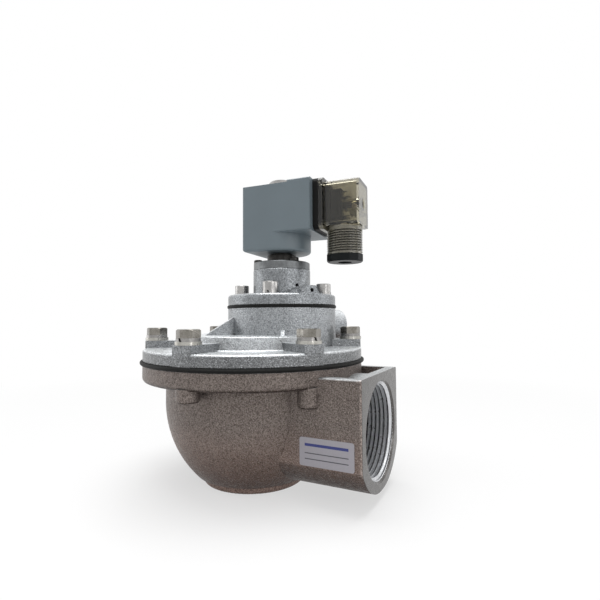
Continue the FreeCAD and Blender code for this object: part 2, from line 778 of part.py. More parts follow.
def main_stack_nut():
    """Nut on top of the plate, inside the main spring."""
    low = COVER_BASE + UPPER_PLATE_THICKNESS
    nut = hexagon(STACK_BOLT_HEAD_FLATS, low, low + STACK_NUT_HEIGHT, BOLT_HEAD_CHAMFER)
    return nut.cut(rod(STACK_BOLT_RADIUS + THREAD_PLAY, low - 1, low + STACK_NUT_HEIGHT + 1))


def main_spring():
    """Spring that closes the main diaphragm."""
    low = COVER_BASE + UPPER_PLATE_THICKNESS + SPRING_SEAT_GAP
    return spring(
        MAIN_SPRING_RADIUS, MAIN_SPRING_WIRE, MAIN_SPRING_TURNS, low, SPRING_ROOF - SPRING_SEAT_GAP
    )


def cover_outside():
    """Rim and raised cone of the main cover."""
    return turned([
        (0, COVER_BASE, 0),
        (FLANGE_RADIUS, COVER_BASE, 0.3),
        (FLANGE_RADIUS, RIM_TOP, RIM_ROUND),
        (CONE_BASE_RADIUS, RIM_TOP, CONE_ROUND),
        (CONE_TOP_RADIUS, PLATEAU, CONE_ROUND),
        (0, PLATEAU, 0),
    ])


def cover_lugs():
    """Radial lugs under the bolt heads, flush with the rim."""
    bar = level_box(LUG_INNER_RADIUS, FLANGE_RADIUS + 1, LUG_WIDTH / 2, COVER_BASE, LUG_TOP)
    lug = bar.common(rod(FLANGE_RADIUS, COVER_BASE, LUG_TOP))
    return around(lug, 0, BOLT_COUNT, BOLT_START_ANGLE)


def rib(length, height, turn):
    """Thin gusset from the tower's wall down to the plateau."""
    start = TOWER_RADIUS - 1
    end = TOWER_RADIUS + length
    foot = PLATEAU - 1
    outline = [
        (start, foot, 0),
        (end, foot, 0),
        (end, PLATEAU, 0),
        (start, PLATEAU + height, 0),
    ]
    face = rounded_face(outline, side_point)
    face.translate(FreeCAD.Vector(0, -RIB_THICKNESS / 2, 0))
    gusset = face.extrude(FreeCAD.Vector(0, RIB_THICKNESS, 0))
    gusset.rotate(ORIGIN, UP, turn)
    return on_tower(gusset)


def tower_outside():
    """Pilot tower, its vent boss and the ribs at its foot."""
    tower = on_tower(turned([
        (0, COVER_BASE, 0),
        (TOWER_RADIUS, COVER_BASE, 0),
        (TOWER_RADIUS, TOWER_TOP, 0.3),
        (0, TOWER_TOP, 0),
    ]))
    boss = on_tower(level_rod(VENT_BOSS_RADIUS, 0, FLANGE_RADIUS - TOWER_OFFSET, VENT_HEIGHT))
    ribs = [
        rib(RIB_LENGTH, RIB_HEIGHT, 180),
        rib(SIDE_RIB_LENGTH, SIDE_RIB_HEIGHT, SIDE_RIB_SPREAD),
        rib(SIDE_RIB_LENGTH, SIDE_RIB_HEIGHT, -SIDE_RIB_SPREAD),
    ]
    return [tower, boss] + ribs


def main_chamber():
    """Control chamber over the main diaphragm, with the spring pocket in its roof."""
    return turned([
        (0, COVER_BASE - 1, 0),
        (CHAMBER_RADIUS, COVER_BASE - 1, 0),
        (CHAMBER_RADIUS, COVER_BASE + CHAMBER_STEP_HEIGHT, 1.0),
        (CHAMBER_ROOF_RADIUS, COVER_BASE + CHAMBER_STEP_HEIGHT, 0.5),
        (CHAMBER_ROOF_RADIUS, CHAMBER_ROOF, 1.5),
        (SPRING_POCKET_RADIUS, CHAMBER_ROOF, 0.3),
        (SPRING_POCKET_RADIUS, SPRING_ROOF, 0.5),
        (0, SPRING_ROOF, 0),
    ])


def pilot_chamber():
    """Ring space about the pilot seat, crossed by the vent duct."""
    outer_seat = PILOT_SEAT_BORE + PILOT_SEAT_WALL
    space = turned([
        (0, PILOT_SEAT_HEIGHT, 0),
        (outer_seat - 0.8, PILOT_SEAT_HEIGHT, 0.3),
        (outer_seat, PILOT_SEAT_HEIGHT - 1.5, 0),
        (outer_seat, PILOT_FLOOR, 0.8),
        (PILOT_CHAMBER_RADIUS, PILOT_FLOOR, 0.8),
        (PILOT_CHAMBER_RADIUS, TOWER_TOP + 1, 0),
        (0, TOWER_TOP + 1, 0),
    ])
    duct = level_rod(VENT_DUCT_RADIUS + VENT_DUCT_WALL, 0, PILOT_CHAMBER_RADIUS + 1, VENT_HEIGHT)
    return space.cut(duct)


def vent_way():
    """Bore of the pilot seat, the duct from it and the vent port's threaded mouth."""
    end = FLANGE_RADIUS - TOWER_OFFSET
    thread_start = end - VENT_PORT_DEPTH
    seat_bore = rod(PILOT_SEAT_BORE, PILOT_FLOOR, PILOT_SEAT_HEIGHT + 1)
    duct = level_rod(VENT_DUCT_RADIUS, 0, thread_start + 1, VENT_HEIGHT)
    mouth = level_rod(VENT_PORT_RADIUS, thread_start, end + 1, VENT_HEIGHT)
    return seat_bore.fuse([duct, mouth])


def main_cover():
    """Cast main cover with lugs, pilot tower, ribs and vent boss."""
    outside = cover_outside().fuse(cover_lugs() + tower_outside()).removeSplitter()
    scallop = rod(WRENCH_SCALLOP_RADIUS, LUG_TOP, PLATEAU + 1)
    scallops = around(scallop, BOLT_CIRCLE, BOLT_COUNT, BOLT_START_ANGLE)
    tower_keep = on_tower(rod(TOWER_RADIUS, LUG_TOP - 1, PLATEAU + 2))
    relief = scallops[0].fuse(scallops[1:]).cut(tower_keep)
    bolt_hole = rod(BOLT_RADIUS + HOLE_PLAY, COVER_BASE - 1, LUG_TOP + 1)
    feed_low = CHAMBER_ROOF - 1
    feed = rod(PILOT_FEED_RADIUS, feed_low, PILOT_FLOOR + 1)
    feeds = [on_tower(moved(feed, 0, side * PILOT_FEED_CIRCLE)) for side in (-1, 1)]
    tapped = rod(SCREW_RADIUS + THREAD_PLAY, TOWER_TOP - SCREW_HOLE_DEPTH, TOWER_TOP + 1)
    screw_holes = [on_tower(hole) for hole in around(tapped, SCREW_CIRCLE, SCREW_COUNT, SCREW_START_ANGLE)]
    bolt_holes = around(bolt_hole, BOLT_CIRCLE, BOLT_COUNT, BOLT_START_ANGLE)
    inner = [main_chamber(), on_tower(pilot_chamber()), on_tower(vent_way())]
    return cut_all(outside.cut(relief), inner + feeds + screw_holes + bolt_holes)


def cover_bolts():
    """Hexagon bolts of the main cover."""
    seat = LUG_TOP + FLAT_WASHER_THICKNESS + SPRING_WASHER_THICKNESS
    head = hexagon(BOLT_HEAD_FLATS, seat, seat + BOLT_HEAD_HEIGHT, BOLT_HEAD_CHAMFER)
    bolt = head.fuse(rod(BOLT_RADIUS, seat - BOLT_LENGTH, seat))
    return Part.makeCompound(around(bolt, BOLT_CIRCLE, BOLT_COUNT, BOLT_START_ANGLE))


def cover_spring_washers():
    """Spring washers under the bolt heads."""
    low = LUG_TOP + FLAT_WASHER_THICKNESS
    washer = split_washer(
        SPRING_WASHER_RADIUS, BOLT_RADIUS + HOLE_PLAY / 2, low, low + SPRING_WASHER_THICKNESS
    )
    return Part.makeCompound(around(washer, BOLT_CIRCLE, BOLT_COUNT, BOLT_START_ANGLE))


def cover_flat_washers():
    """Flat washers on the lugs."""
    washer = ring(FLAT_WASHER_RADIUS, BOLT_RADIUS + HOLE_PLAY, LUG_TOP, LUG_TOP + FLAT_WASHER_THICKNESS)
    return Part.makeCompound(around(washer, BOLT_CIRCLE, BOLT_COUNT, BOLT_START_ANGLE))


def pilot_diaphragm():
    """Small rubber diaphragm between the tower and the pilot cover."""
    lip_radius = TOWER_RADIUS + PILOT_DIAPHRAGM_LIP
    sheet = turned([
        (0, TOWER_TOP, 0),
        (lip_radius, TOWER_TOP, 0.4),
        (lip_radius, PILOT_BASE, 0.4),
        (0, PILOT_BASE, 0),
    ])
    outer, inner = roll(
        PILOT_ROLL_RADIUS, PILOT_ROLL_HALF_WIDTH, PILOT_ROLL_HEIGHT, PILOT_DIAPHRAGM_THICKNESS, TOWER_TOP
    )
    screw_hole = rod(SCREW_RADIUS + HOLE_PLAY, TOWER_TOP - 1, PILOT_BASE + 1)
    centre_hole = rod(RIVET_RADIUS + SEAL_PLAY, TOWER_TOP - 1, PILOT_BASE + 1)
    holes = around(screw_hole, SCREW_CIRCLE, SCREW_COUNT, SCREW_START_ANGLE)
    return on_tower(cut_all(sheet.fuse(outer), [inner, centre_hole] + holes))


def pilot_upper_plate():
    """Plate on top of the pilot diaphragm."""
    top = PILOT_BASE + PILOT_PLATE_THICKNESS
    return on_tower(turned([
        (RIVET_RADIUS + SEAL_PLAY, PILOT_BASE, 0),
        (PILOT_PLATE_RADIUS, PILOT_BASE, 0.4),
        (PILOT_PLATE_RADIUS, top, 0.4),
        (RIVET_RADIUS + SEAL_PLAY, top, 0),
    ]))


def pilot_seat_disc():
    """Sealing disc under the pilot diaphragm, resting on the pilot seat."""
    return on_tower(ring(PILOT_DISC_RADIUS, RIVET_RADIUS + SEAL_PLAY, PILOT_SEAT_HEIGHT, TOWER_TOP))


def pilot_rivet():
    """Rivet that clamps the pilot stack."""
    low = PILOT_SEAT_HEIGHT
    high = PILOT_BASE + PILOT_PLATE_THICKNESS
    return on_tower(turned([
        (0, low - RIVET_HEAD_HEIGHT, 0),
        (RIVET_HEAD_RADIUS, low - RIVET_HEAD_HEIGHT, 0.6),
        (RIVET_HEAD_RADIUS, low, 0),
        (RIVET_RADIUS, low, 0),
        (RIVET_RADIUS, high, 0),
        (RIVET_HEAD_RADIUS, high, 0),
        (RIVET_HEAD_RADIUS, high + RIVET_HEAD_HEIGHT, 0.6),
        (0, high + RIVET_HEAD_HEIGHT, 0),
    ]))


def pilot_spring():
    """Spring that closes the pilot diaphragm."""
    low = PILOT_BASE + PILOT_PLATE_THICKNESS + SPRING_SEAT_GAP
    high = PILOT_SPRING_ROOF - SPRING_SEAT_GAP
    return on_tower(spring(PILOT_SPRING_RADIUS, PILOT_SPRING_WIRE, PILOT_SPRING_TURNS, low, high))


def exhaust_ridge():
    """Ridge along X on the flange, round on top and flared at its foot."""
    low = PILOT_FLANGE_TOP - 1
    high = PILOT_FLANGE_TOP + RIDGE_HEIGHT
    edge = RIDGE_FOOT_HALF_WIDTH + RIDGE_FLARE
    half = [
        (edge, low, 0),
        (edge, PILOT_FLANGE_TOP, 0),
        (RIDGE_FOOT_HALF_WIDTH, PILOT_FLANGE_TOP, RIDGE_FOOT_ROUND),
        (RIDGE_TOP_HALF_WIDTH, high, RIDGE_TOP_ROUND),
    ]
    mirrored = [(-across, height, rounding) for across, height, rounding in reversed(half)]
    face = rounded_face(half + mirrored, port_point)
    face.translate(FreeCAD.Vector(HUB_RADIUS - 2, 0, 0))
    return face.extrude(FreeCAD.Vector(TOWER_RADIUS + 3 - HUB_RADIUS, 0, 0))


def pilot_cover_outside():
    """Flange and hub of the pilot cover, with the exhaust ridge and the round pad."""
    base = turned([
        (0, PILOT_BASE, 0),
        (TOWER_RADIUS, PILOT_BASE, 0.3),
        (TOWER_RADIUS, PILOT_FLANGE_TOP, PILOT_FLANGE_ROUND),
        (HUB_RADIUS, PILOT_FLANGE_TOP, HUB_FOOT_ROUND),
        (HUB_RADIUS, HUB_TOP, 0.5),
        (0, HUB_TOP, 0),
    ])
    ridge = exhaust_ridge().common(rod(TOWER_RADIUS, PILOT_BASE, HUB_TOP))
    ridge.rotate(ORIGIN, UP, RIDGE_ANGLE)
    pad = moved(rod(PAD_RADIUS, PILOT_FLANGE_TOP - 1, PILOT_FLANGE_TOP + PAD_HEIGHT), PAD_CIRCLE)
    pad.rotate(ORIGIN, UP, PAD_ANGLE)
    return base.fuse([ridge, pad])


def exhaust_bore():
    """Bore inside the ridge, from its end face inwards and up to the nozzle recess."""
    height = PILOT_FLANGE_TOP + EXHAUST_RISE
    mouth = level_rod(EXHAUST_RADIUS, EXHAUST_START, TOWER_RADIUS + 1, height)
    start = FreeCAD.Vector(EXHAUST_START, 0, height)
    end = FreeCAD.Vector(EXHAUST_END, 0, HUB_TOP - NOZZLE_RECESS_DEPTH)
    way = end.sub(start)
    length = way.Length + EXHAUST_RADIUS
    slope = Part.makeCylinder(EXHAUST_RADIUS, length, start, way)
    bore = mouth.fuse(slope)
    bore.rotate(ORIGIN, UP, RIDGE_ANGLE)
    return bore


def pilot_cover():
    """Cast pilot cover that carries the armature tube."""
    stop = PILOT_BASE + PILOT_PLATE_THICKNESS + PILOT_TRAVEL + 0.2
    inside = turned([
        (0, PILOT_BASE - 1, 0),
        (PILOT_CHAMBER_RADIUS, PILOT_BASE - 1, 0),
        (PILOT_CHAMBER_RADIUS, PILOT_BASE + PILOT_ROOF_DEPTH, 0.8),
        (PILOT_PLATE_POCKET_RADIUS, PILOT_BASE + PILOT_ROOF_DEPTH, 0),
        (PILOT_PLATE_POCKET_RADIUS, stop, 0),
        (PILOT_SPRING_POCKET_RADIUS, stop, 0),
        (PILOT_SPRING_POCKET_RADIUS, PILOT_SPRING_ROOF, 0.4),
        (0, PILOT_SPRING_ROOF, 0),
    ])
    recess_floor = HUB_TOP - NOZZLE_RECESS_DEPTH
    recess = ring(NOZZLE_RECESS_RADIUS, NOZZLE_RADIUS, recess_floor, HUB_TOP + 1)
    over_nozzle = rod(NOZZLE_RADIUS + 1, NOZZLE_TOP, HUB_TOP + 1)
    nozzle_bore = rod(NOZZLE_BORE, PILOT_SPRING_ROOF - 1, HUB_TOP + 1)
    groove_half = O_RING_SECTION + SEAL_PLAY
    groove = ring(
        O_RING_RADIUS + groove_half, O_RING_RADIUS - groove_half, HUB_TOP - O_RING_GROOVE_DEPTH, HUB_TOP + 1
    )
    screw_hole = rod(SCREW_RADIUS + HOLE_PLAY, PILOT_BASE - 1, PILOT_FLANGE_TOP + RIDGE_HEIGHT + 1)
    screw_holes = around(screw_hole, SCREW_CIRCLE, SCREW_COUNT, SCREW_START_ANGLE)
    tapped = rod(TUBE_SCREW_RADIUS + THREAD_PLAY, HUB_TOP - TUBE_SCREW_LENGTH, HUB_TOP + 1)
    tapped_holes = around(tapped, TUBE_SCREW_CIRCLE, TUBE_SCREW_COUNT, TUBE_SCREW_START_ANGLE)
    bores = [inside, recess, over_nozzle, nozzle_bore, groove, exhaust_bore()]
    return on_tower(cut_all(pilot_cover_outside(), bores + screw_holes + tapped_holes))


def pilot_cover_screws():
    """Socket head screws of the pilot cover."""
    seat = PILOT_FLANGE_TOP + SCREW_WASHER_THICKNESS
    top = seat + SCREW_HEAD_HEIGHT
    head = turned([
        (0, seat, 0),
        (SCREW_HEAD_RADIUS, seat, 0),
        (SCREW_HEAD_RADIUS, top, 0.4),
        (0, top, 0),
    ])
    socket = hexagon(SCREW_SOCKET_FLATS, top - SCREW_SOCKET_DEPTH, top + 1)
    screw = head.fuse(rod(SCREW_RADIUS, seat - SCREW_LENGTH, seat)).cut(socket)
    screws = around(screw, SCREW_CIRCLE, SCREW_COUNT, SCREW_START_ANGLE)
    return Part.makeCompound([on_tower(item) for item in screws])


def pilot_cover_spring_washers():
    """Spring washers under the pilot cover screws."""
    washer = split_washer(
        SCREW_WASHER_RADIUS,
        SCREW_RADIUS + HOLE_PLAY / 2,
        PILOT_FLANGE_TOP,
        PILOT_FLANGE_TOP + SCREW_WASHER_THICKNESS,
    )
    washers = around(washer, SCREW_CIRCLE, SCREW_COUNT, SCREW_START_ANGLE)
    return Part.makeCompound([on_tower(item) for item in washers])


def tube_o_ring():
    """O-ring between the armature tube and the pilot cover."""
    height = HUB_TOP - O_RING_GROOVE_DEPTH + O_RING_SECTION
    section = min(O_RING_SECTION, O_RING_GROOVE_DEPTH / 2)
    low_height = min(height, HUB_TOP - section)
    return on_tower(Part.makeTorus(O_RING_RADIUS, section, FreeCAD.Vector(0, 0, low_height)))


def armature_tube():
    """Guide tube of the plunger, with its foot flange and neck."""
    tube = turned([
        (TUBE_BORE_RADIUS, HUB_TOP, 0),
        (TUBE_FLANGE_RADIUS, HUB_TOP, 0),
        (TUBE_FLANGE_RADIUS, HUB_TOP + TUBE_FLANGE_THICKNESS, 0.2),
        (TUBE_NECK_RADIUS, HUB_TOP + TUBE_FLANGE_THICKNESS, 0),
        (TUBE_NECK_RADIUS, HUB_TOP + TUBE_NECK_HEIGHT, 0.4),
        (TUBE_RADIUS, HUB_TOP + TUBE_NECK_HEIGHT, 0),
        (TUBE_RADIUS, TUBE_TOP, 0),
        (TUBE_BORE_RADIUS, TUBE_TOP, 0),
    ])
    return on_tower(tube)


def tube_clamp_plate():
    """Round plate that clamps the tube's flange to the hub."""
    counterbore = HUB_TOP + TUBE_FLANGE_THICKNESS
    plate = turned([
        (TUBE_FLANGE_RADIUS + THREAD_PLAY, HUB_TOP, 0),
        (PLATE_RADIUS, HUB_TOP, 0.3),
        (PLATE_RADIUS, PLATE_TOP, PLATE_EDGE_ROUND),
        (TUBE_NECK_RADIUS + SEAL_PLAY, PLATE_TOP, 0),
        (TUBE_NECK_RADIUS + SEAL_PLAY, counterbore, 0),
        (TUBE_FLANGE_RADIUS + THREAD_PLAY, counterbore, 0),
    ])
    hole = rod(TUBE_SCREW_RADIUS + SEAL_PLAY, HUB_TOP - 1, PLATE_TOP + 1)
    holes = around(hole, TUBE_SCREW_CIRCLE, TUBE_SCREW_COUNT, TUBE_SCREW_START_ANGLE)
    return on_tower(cut_all(plate, holes))


def tube_screws():
    """Small screws of the clamp plate."""
    top = PLATE_TOP + TUBE_SCREW_HEAD_HEIGHT
    head = turned([
        (0, PLATE_TOP, 0),
        (TUBE_SCREW_HEAD_RADIUS, PLATE_TOP, 0),
        (TUBE_SCREW_HEAD_RADIUS, top, 0.7),
        (0, top, 0),
    ])
    slot = Part.makeBox(6.0, 0.6, 1.0, FreeCAD.Vector(-3.0, -0.3, top - 0.8))
    screw = head.fuse(rod(TUBE_SCREW_RADIUS, PLATE_TOP - TUBE_SCREW_LENGTH, PLATE_TOP)).cut(slot)
    screws = around(screw, TUBE_SCREW_CIRCLE, TUBE_SCREW_COUNT, TUBE_SCREW_START_ANGLE)
    return Part.makeCompound([on_tower(item) for item in screws])


def fixed_core():
    """Fixed core in the head of the tube, with the stud for the coil nut."""
    core = turned([
        (0, CORE_FACE, 0),
        (TUBE_BORE_RADIUS - 0.02, CORE_FACE, 0.2),
        (TUBE_BORE_RADIUS - 0.02, TUBE_TOP, 0),
        (TUBE_RADIUS, TUBE_TOP, 0),
        (TUBE_RADIUS, TUBE_TOP + CORE_SHOULDER, 0.4),
        (STUD_RADIUS, TUBE_TOP + CORE_SHOULDER, 0),
        (STUD_RADIUS, TUBE_TOP + CORE_SHOULDER + STUD_HEIGHT, 0.6),
        (0, TUBE_TOP + CORE_SHOULDER + STUD_HEIGHT, 0),
    ])
    groove = ring(SHADING_RING_OUTER, SHADING_RING_INNER, CORE_FACE - 1, CORE_FACE + SHADING_RING_HEIGHT)
    return on_tower(core.cut(groove))


def shading_ring():
    """Copper ring in the core's face."""
    play = THREAD_PLAY / 2
    outer = SHADING_RING_OUTER - play
    inner = SHADING_RING_INNER + play
    return on_tower(ring(outer, inner, CORE_FACE, CORE_FACE + SHADING_RING_HEIGHT))


def plunger():
    """Moving core, bored for its spring above and for its seal below."""
    low = NOZZLE_TOP + PLUNGER_LIFT_OFF
    high = CORE_FACE - PLUNGER_TRAVEL
    body = turned([
        (0, low, 0),
        (TUBE_BORE_RADIUS - SLIDE_PLAY, low, 0.5),
        (TUBE_BORE_RADIUS - SLIDE_PLAY, high, 0.5),
        (0, high, 0),
    ])
    spring_bore = rod(PLUNGER_BORE, high - PLUNGER_BORE_DEPTH, high + 1)
    seal_bore = rod(PLUNGER_SEAL_RADIUS, low - 1, NOZZLE_TOP + PLUNGER_SEAL_HEIGHT)
    return on_tower(cut_all(body, [spring_bore, seal_bore]))


def plunger_seal():
    """Rubber seal in the foot of the plunger, closing the nozzle."""
    return on_tower(rod(PLUNGER_SEAL_RADIUS - 0.02, NOZZLE_TOP, NOZZLE_TOP + PLUNGER_SEAL_HEIGHT))


def plunger_spring():
    """Spring between the plunger and the fixed core."""
    low = CORE_FACE - PLUNGER_TRAVEL - PLUNGER_BORE_DEPTH + SPRING_SEAT_GAP
    high = CORE_FACE - SPRING_SEAT_GAP
    return on_tower(spring(PLUNGER_SPRING_RADIUS, PLUNGER_SPRING_WIRE, PLUNGER_SPRING_TURNS, low, high))


def terminal_heights():
    """Heights of the two contact blades above the plug's axis."""
    return [PLUG_AXIS_HEIGHT - TERMINAL_SPREAD, PLUG_AXIS_HEIGHT + TERMINAL_SPREAD]


def terminal_blade(play):
    """One level contact blade on the plug's axis, grown by a play."""
    start = COIL_NOSE_REACH - TERMINAL_ROOT
    end = GASKET_FACE + TERMINAL_REACH + play
    half = TERMINAL_WIDTH / 2 + play
    thick = TERMINAL_THICKNESS / 2 + play
    return level_box(start, end, half, -thick, thick)


def coil_terminals():
    """The coil's two contact blades."""
    blade = terminal_blade(0)
    return Part.makeCompound([on_coil(moved(blade, height=height)) for height in terminal_heights()])


def coil_outside():
    """Moulded coil: square back, round front and a raised nose for the plug."""
    body = prism(
        [
            (-COIL_BACK, -COIL_HALF_WIDTH, COIL_ROUND),
            (COIL_HALF_WIDTH, -COIL_HALF_WIDTH, COIL_HALF_WIDTH * 0.999),
            (COIL_HALF_WIDTH, COIL_HALF_WIDTH, COIL_HALF_WIDTH * 0.999),
            (-COIL_BACK, COIL_HALF_WIDTH, COIL_ROUND),
        ],
        COIL_BASE,
        COIL_TOP,
    )
    foot_edges = [edge for edge in body.Edges if edge.BoundBox.ZMax < COIL_BASE + COIL_ROUND / 2]
    body = body.makeFillet(COIL_FOOT_ROUND, foot_edges)
    nose_high = COIL_TOP + COIL_NOSE_RISE
    nose = rounded_block(0, COIL_NOSE_REACH, COIL_HALF_WIDTH, COIL_NOSE_LOW, nose_high, COIL_ROUND)
    hollow = level_box(-1, COIL_NOSE_START, COIL_HALF_WIDTH + 1, COIL_TOP, nose_high + 1)
    return body.fuse(nose.cut(hollow))


def coil_housing():
    """Moulded coil body with its bore, terminal slots and plug screw hole."""
    bore = rod(TUBE_RADIUS + SLIDE_PLAY, COIL_BASE - 1, COIL_TOP + COIL_NOSE_RISE + 1)
    slots = [moved(terminal_blade(0.01), height=height) for height in terminal_heights()]
    screw_start = COIL_NOSE_REACH - PLUG_SCREW_GRIP
    screw_hole = level_rod(
        PLUG_SCREW_RADIUS + THREAD_PLAY, screw_start, COIL_NOSE_REACH + 1, PLUG_AXIS_HEIGHT
    )
    return on_coil(cut_all(coil_outside(), [bore, screw_hole] + slots))


def coil_washer():
    """Washer between the coil and its nut."""
    top = COIL_TOP + COIL_WASHER_THICKNESS
    return on_tower(ring(COIL_WASHER_RADIUS, TUBE_RADIUS + SEAL_PLAY, COIL_TOP, top))


def coil_nut():
    """Nut on the stud that holds the coil down."""
    low = COIL_TOP + COIL_WASHER_THICKNESS
    nut = hexagon(COIL_NUT_FLATS, low, low + COIL_NUT_HEIGHT, BOLT_HEAD_CHAMFER)
    nut.rotate(ORIGIN, UP, COIL_NUT_TURN)
    bore = rod(STUD_RADIUS + THREAD_PLAY, low - 1, low + COIL_NUT_HEIGHT + 1)
    return on_tower(nut.cut(bore))


def connector_gasket():
    """Flat gasket between the coil and the plug."""
    half_height = GASKET_HEIGHT / 2
    window = GASKET_WINDOW_HEIGHT / 2
    sheet = rounded_block(
        COIL_NOSE_REACH,
        GASKET_FACE,
        GASKET_HALF_WIDTH,
        PLUG_AXIS_HEIGHT - half_height,
        PLUG_AXIS_HEIGHT + half_height,
        GASKET_ROUND,
    )
    opening = rounded_block(
        COIL_NOSE_REACH - 1,
        GASKET_FACE + 1,
        GASKET_WINDOW_HALF_WIDTH,
        PLUG_AXIS_HEIGHT - window,
        PLUG_AXIS_HEIGHT + window,
        1.0,
    )
    return on_coil(sheet.cut(opening))


def connector_housing():
    """Clear plug housing with its foot, hollow, screw sleeve and threaded gland."""
    half_height = PLUG_HEIGHT / 2
    foot_half = GASKET_HEIGHT / 2
    foot = rounded_block(
        GASKET_FACE,
        GASKET_FACE + PLUG_FOOT_THICKNESS,
        GASKET_HALF_WIDTH,
        PLUG_AXIS_HEIGHT - foot_half,
        PLUG_AXIS_HEIGHT + foot_half,
        GASKET_ROUND,
    )
    body = rounded_block(
        GASKET_FACE,
        PLUG_END,
        PLUG_HALF_WIDTH,
        PLUG_AXIS_HEIGHT - half_height,
        PLUG_AXIS_HEIGHT + half_height,
        PLUG_ROUND,
    )
    gland = moved(rod(GLAND_RADIUS, GLAND_END, PLUG_FLOOR + 1), GLAND_AXIS)
    hollow = rounded_block(
        GASKET_FACE - 1,
        PLUG_END - PLUG_WALL,
        PLUG_HALF_WIDTH - PLUG_WALL,
        PLUG_AXIS_HEIGHT - half_height + PLUG_WALL,
        PLUG_AXIS_HEIGHT + half_height - PLUG_WALL,
        0.8,
    )
    gland_bore = moved(rod(GLAND_BORE_RADIUS, GLAND_END - 1, PLUG_FLOOR + PLUG_WALL + 1), GLAND_AXIS)
    carrier_end = GASKET_FACE + CARRIER_DEPTH + CARRIER_HEAD_DEPTH
    sleeve_end = PLUG_END - PLUG_WALL / 2
    sleeve = level_rod(PLUG_SCREW_SLEEVE, carrier_end + SEAL_PLAY, sleeve_end, PLUG_AXIS_HEIGHT)
    recess = level_rod(
        PLUG_SCREW_HEAD_RADIUS + SEAL_PLAY, PLUG_END - PLUG_SCREW_RECESS, PLUG_END + 1, PLUG_AXIS_HEIGHT
    )
    screw_hole = level_rod(PLUG_SCREW_RADIUS + SEAL_PLAY, carrier_end - 1, PLUG_END + 1, PLUG_AXIS_HEIGHT)
    shell = foot.fuse([body, gland]).cut(hollow).cut(gland_bore)
    return on_coil(shell.fuse(sleeve).cut(recess).cut(screw_hole))


def connector_carrier():
    """Dark terminal carrier inside the plug, with slots for the blades."""
    half = CARRIER_HEIGHT / 2
    head_half = CARRIER_HEAD_HEIGHT / 2
    middle = GASKET_FACE + CARRIER_DEPTH
    base = rounded_block(
        GASKET_FACE, middle, CARRIER_HALF_WIDTH, PLUG_AXIS_HEIGHT - half, PLUG_AXIS_HEIGHT + half, 1.0
    )
    head = rounded_block(
        middle,
        middle + CARRIER_HEAD_DEPTH,
        CARRIER_HEAD_HALF_WIDTH,
        PLUG_AXIS_HEIGHT - head_half,
        PLUG_AXIS_HEIGHT + head_half,
        CARRIER_ROUND,
    )
    screw_hole = level_rod(
        PLUG_SCREW_RADIUS + SEAL_PLAY, GASKET_FACE - 1, middle + CARRIER_HEAD_DEPTH + 1, PLUG_AXIS_HEIGHT
    )
    slots = [moved(terminal_blade(SEAL_PLAY), height=height) for height in terminal_heights()]
    return on_coil(cut_all(base.fuse(head), [screw_hole] + slots))


def contact_block():
    """One screw contact on the back of the carrier."""
    start = GASKET_FACE + CARRIER_DEPTH + CARRIER_HEAD_DEPTH
    half = CONTACT_THICKNESS / 2
    return rounded_block(start, start + CONTACT_REACH, CONTACT_WIDTH / 2, -half, half, 0.4)


def connector_contacts():
    """Brass screw contacts above and below the plug's screw."""
    bore = rod(CONTACT_SCREW_RADIUS + THREAD_PLAY, -CONTACT_THICKNESS, CONTACT_THICKNESS)
    middle = GASKET_FACE + CARRIER_DEPTH + CARRIER_HEAD_DEPTH + CONTACT_REACH / 2
    block = contact_block().cut(moved(bore, middle))
    return Part.makeCompound([on_coil(moved(block, height=height)) for height in terminal_heights()])


def contact_screws():
    """Clamp screws of the two contacts, their heads turned away from the plug's screw."""
    half = CONTACT_THICKNESS / 2
    middle = GASKET_FACE + CARRIER_DEPTH + CARRIER_HEAD_DEPTH + CONTACT_REACH / 2
    screws = []
    for side, height in zip((-1, 1), terminal_heights()):
        screw = rod(CONTACT_SCREW_RADIUS, -half, half)
        head = rod(CONTACT_SCREW_HEAD_RADIUS, half, half + CONTACT_SCREW_HEAD_HEIGHT)
        reach = CONTACT_SCREW_HEAD_RADIUS + 1
        top = half + CONTACT_SCREW_HEAD_HEIGHT
        slot = level_box(-reach, reach, CONTACT_SLOT_HALF_WIDTH, top - CONTACT_SLOT_DEPTH, top + 1)
        screw = screw.fuse(head).cut(slot)
        if side < 0:
            screw.rotate(ORIGIN, FreeCAD.Vector(1, 0, 0), 180)
        screws.append(on_coil(moved(screw, middle, 0, height)))
    return Part.makeCompound(screws)


def indicator_board():
    """Circuit board below the plug's screw, on a ledge of the carrier."""
    start = GASKET_FACE + CARRIER_DEPTH + CARRIER_HEAD_DEPTH
    top = PLUG_AXIS_HEIGHT - BOARD_DROP + BOARD_THICKNESS
    end = PLUG_END - PLUG_WALL
    board = level_box(start + CONTACT_REACH + SEAL_PLAY, end, BOARD_HALF_WIDTH, top - BOARD_THICKNESS, top)
    return on_coil(board)


def indicator_lamp():
    """Signal lamp that stands on the board."""
    base = PLUG_AXIS_HEIGHT - BOARD_DROP + BOARD_THICKNESS
    top = base + LAMP_HEIGHT
    lamp = turned([
        (0, base, 0),
        (LAMP_RADIUS + 0.3, base, 0),
        (LAMP_RADIUS + 0.3, base + 0.6, 0),
        (LAMP_RADIUS, base + 0.6, 0),
        (LAMP_RADIUS, top, LAMP_RADIUS * 0.9),
        (0, top, 0),
    ])
    place = PLUG_END - PLUG_WALL - LAMP_RADIUS - 0.6
    return on_coil(moved(lamp, place, -(PLUG_SCREW_SLEEVE + LAMP_RADIUS + 0.6)))


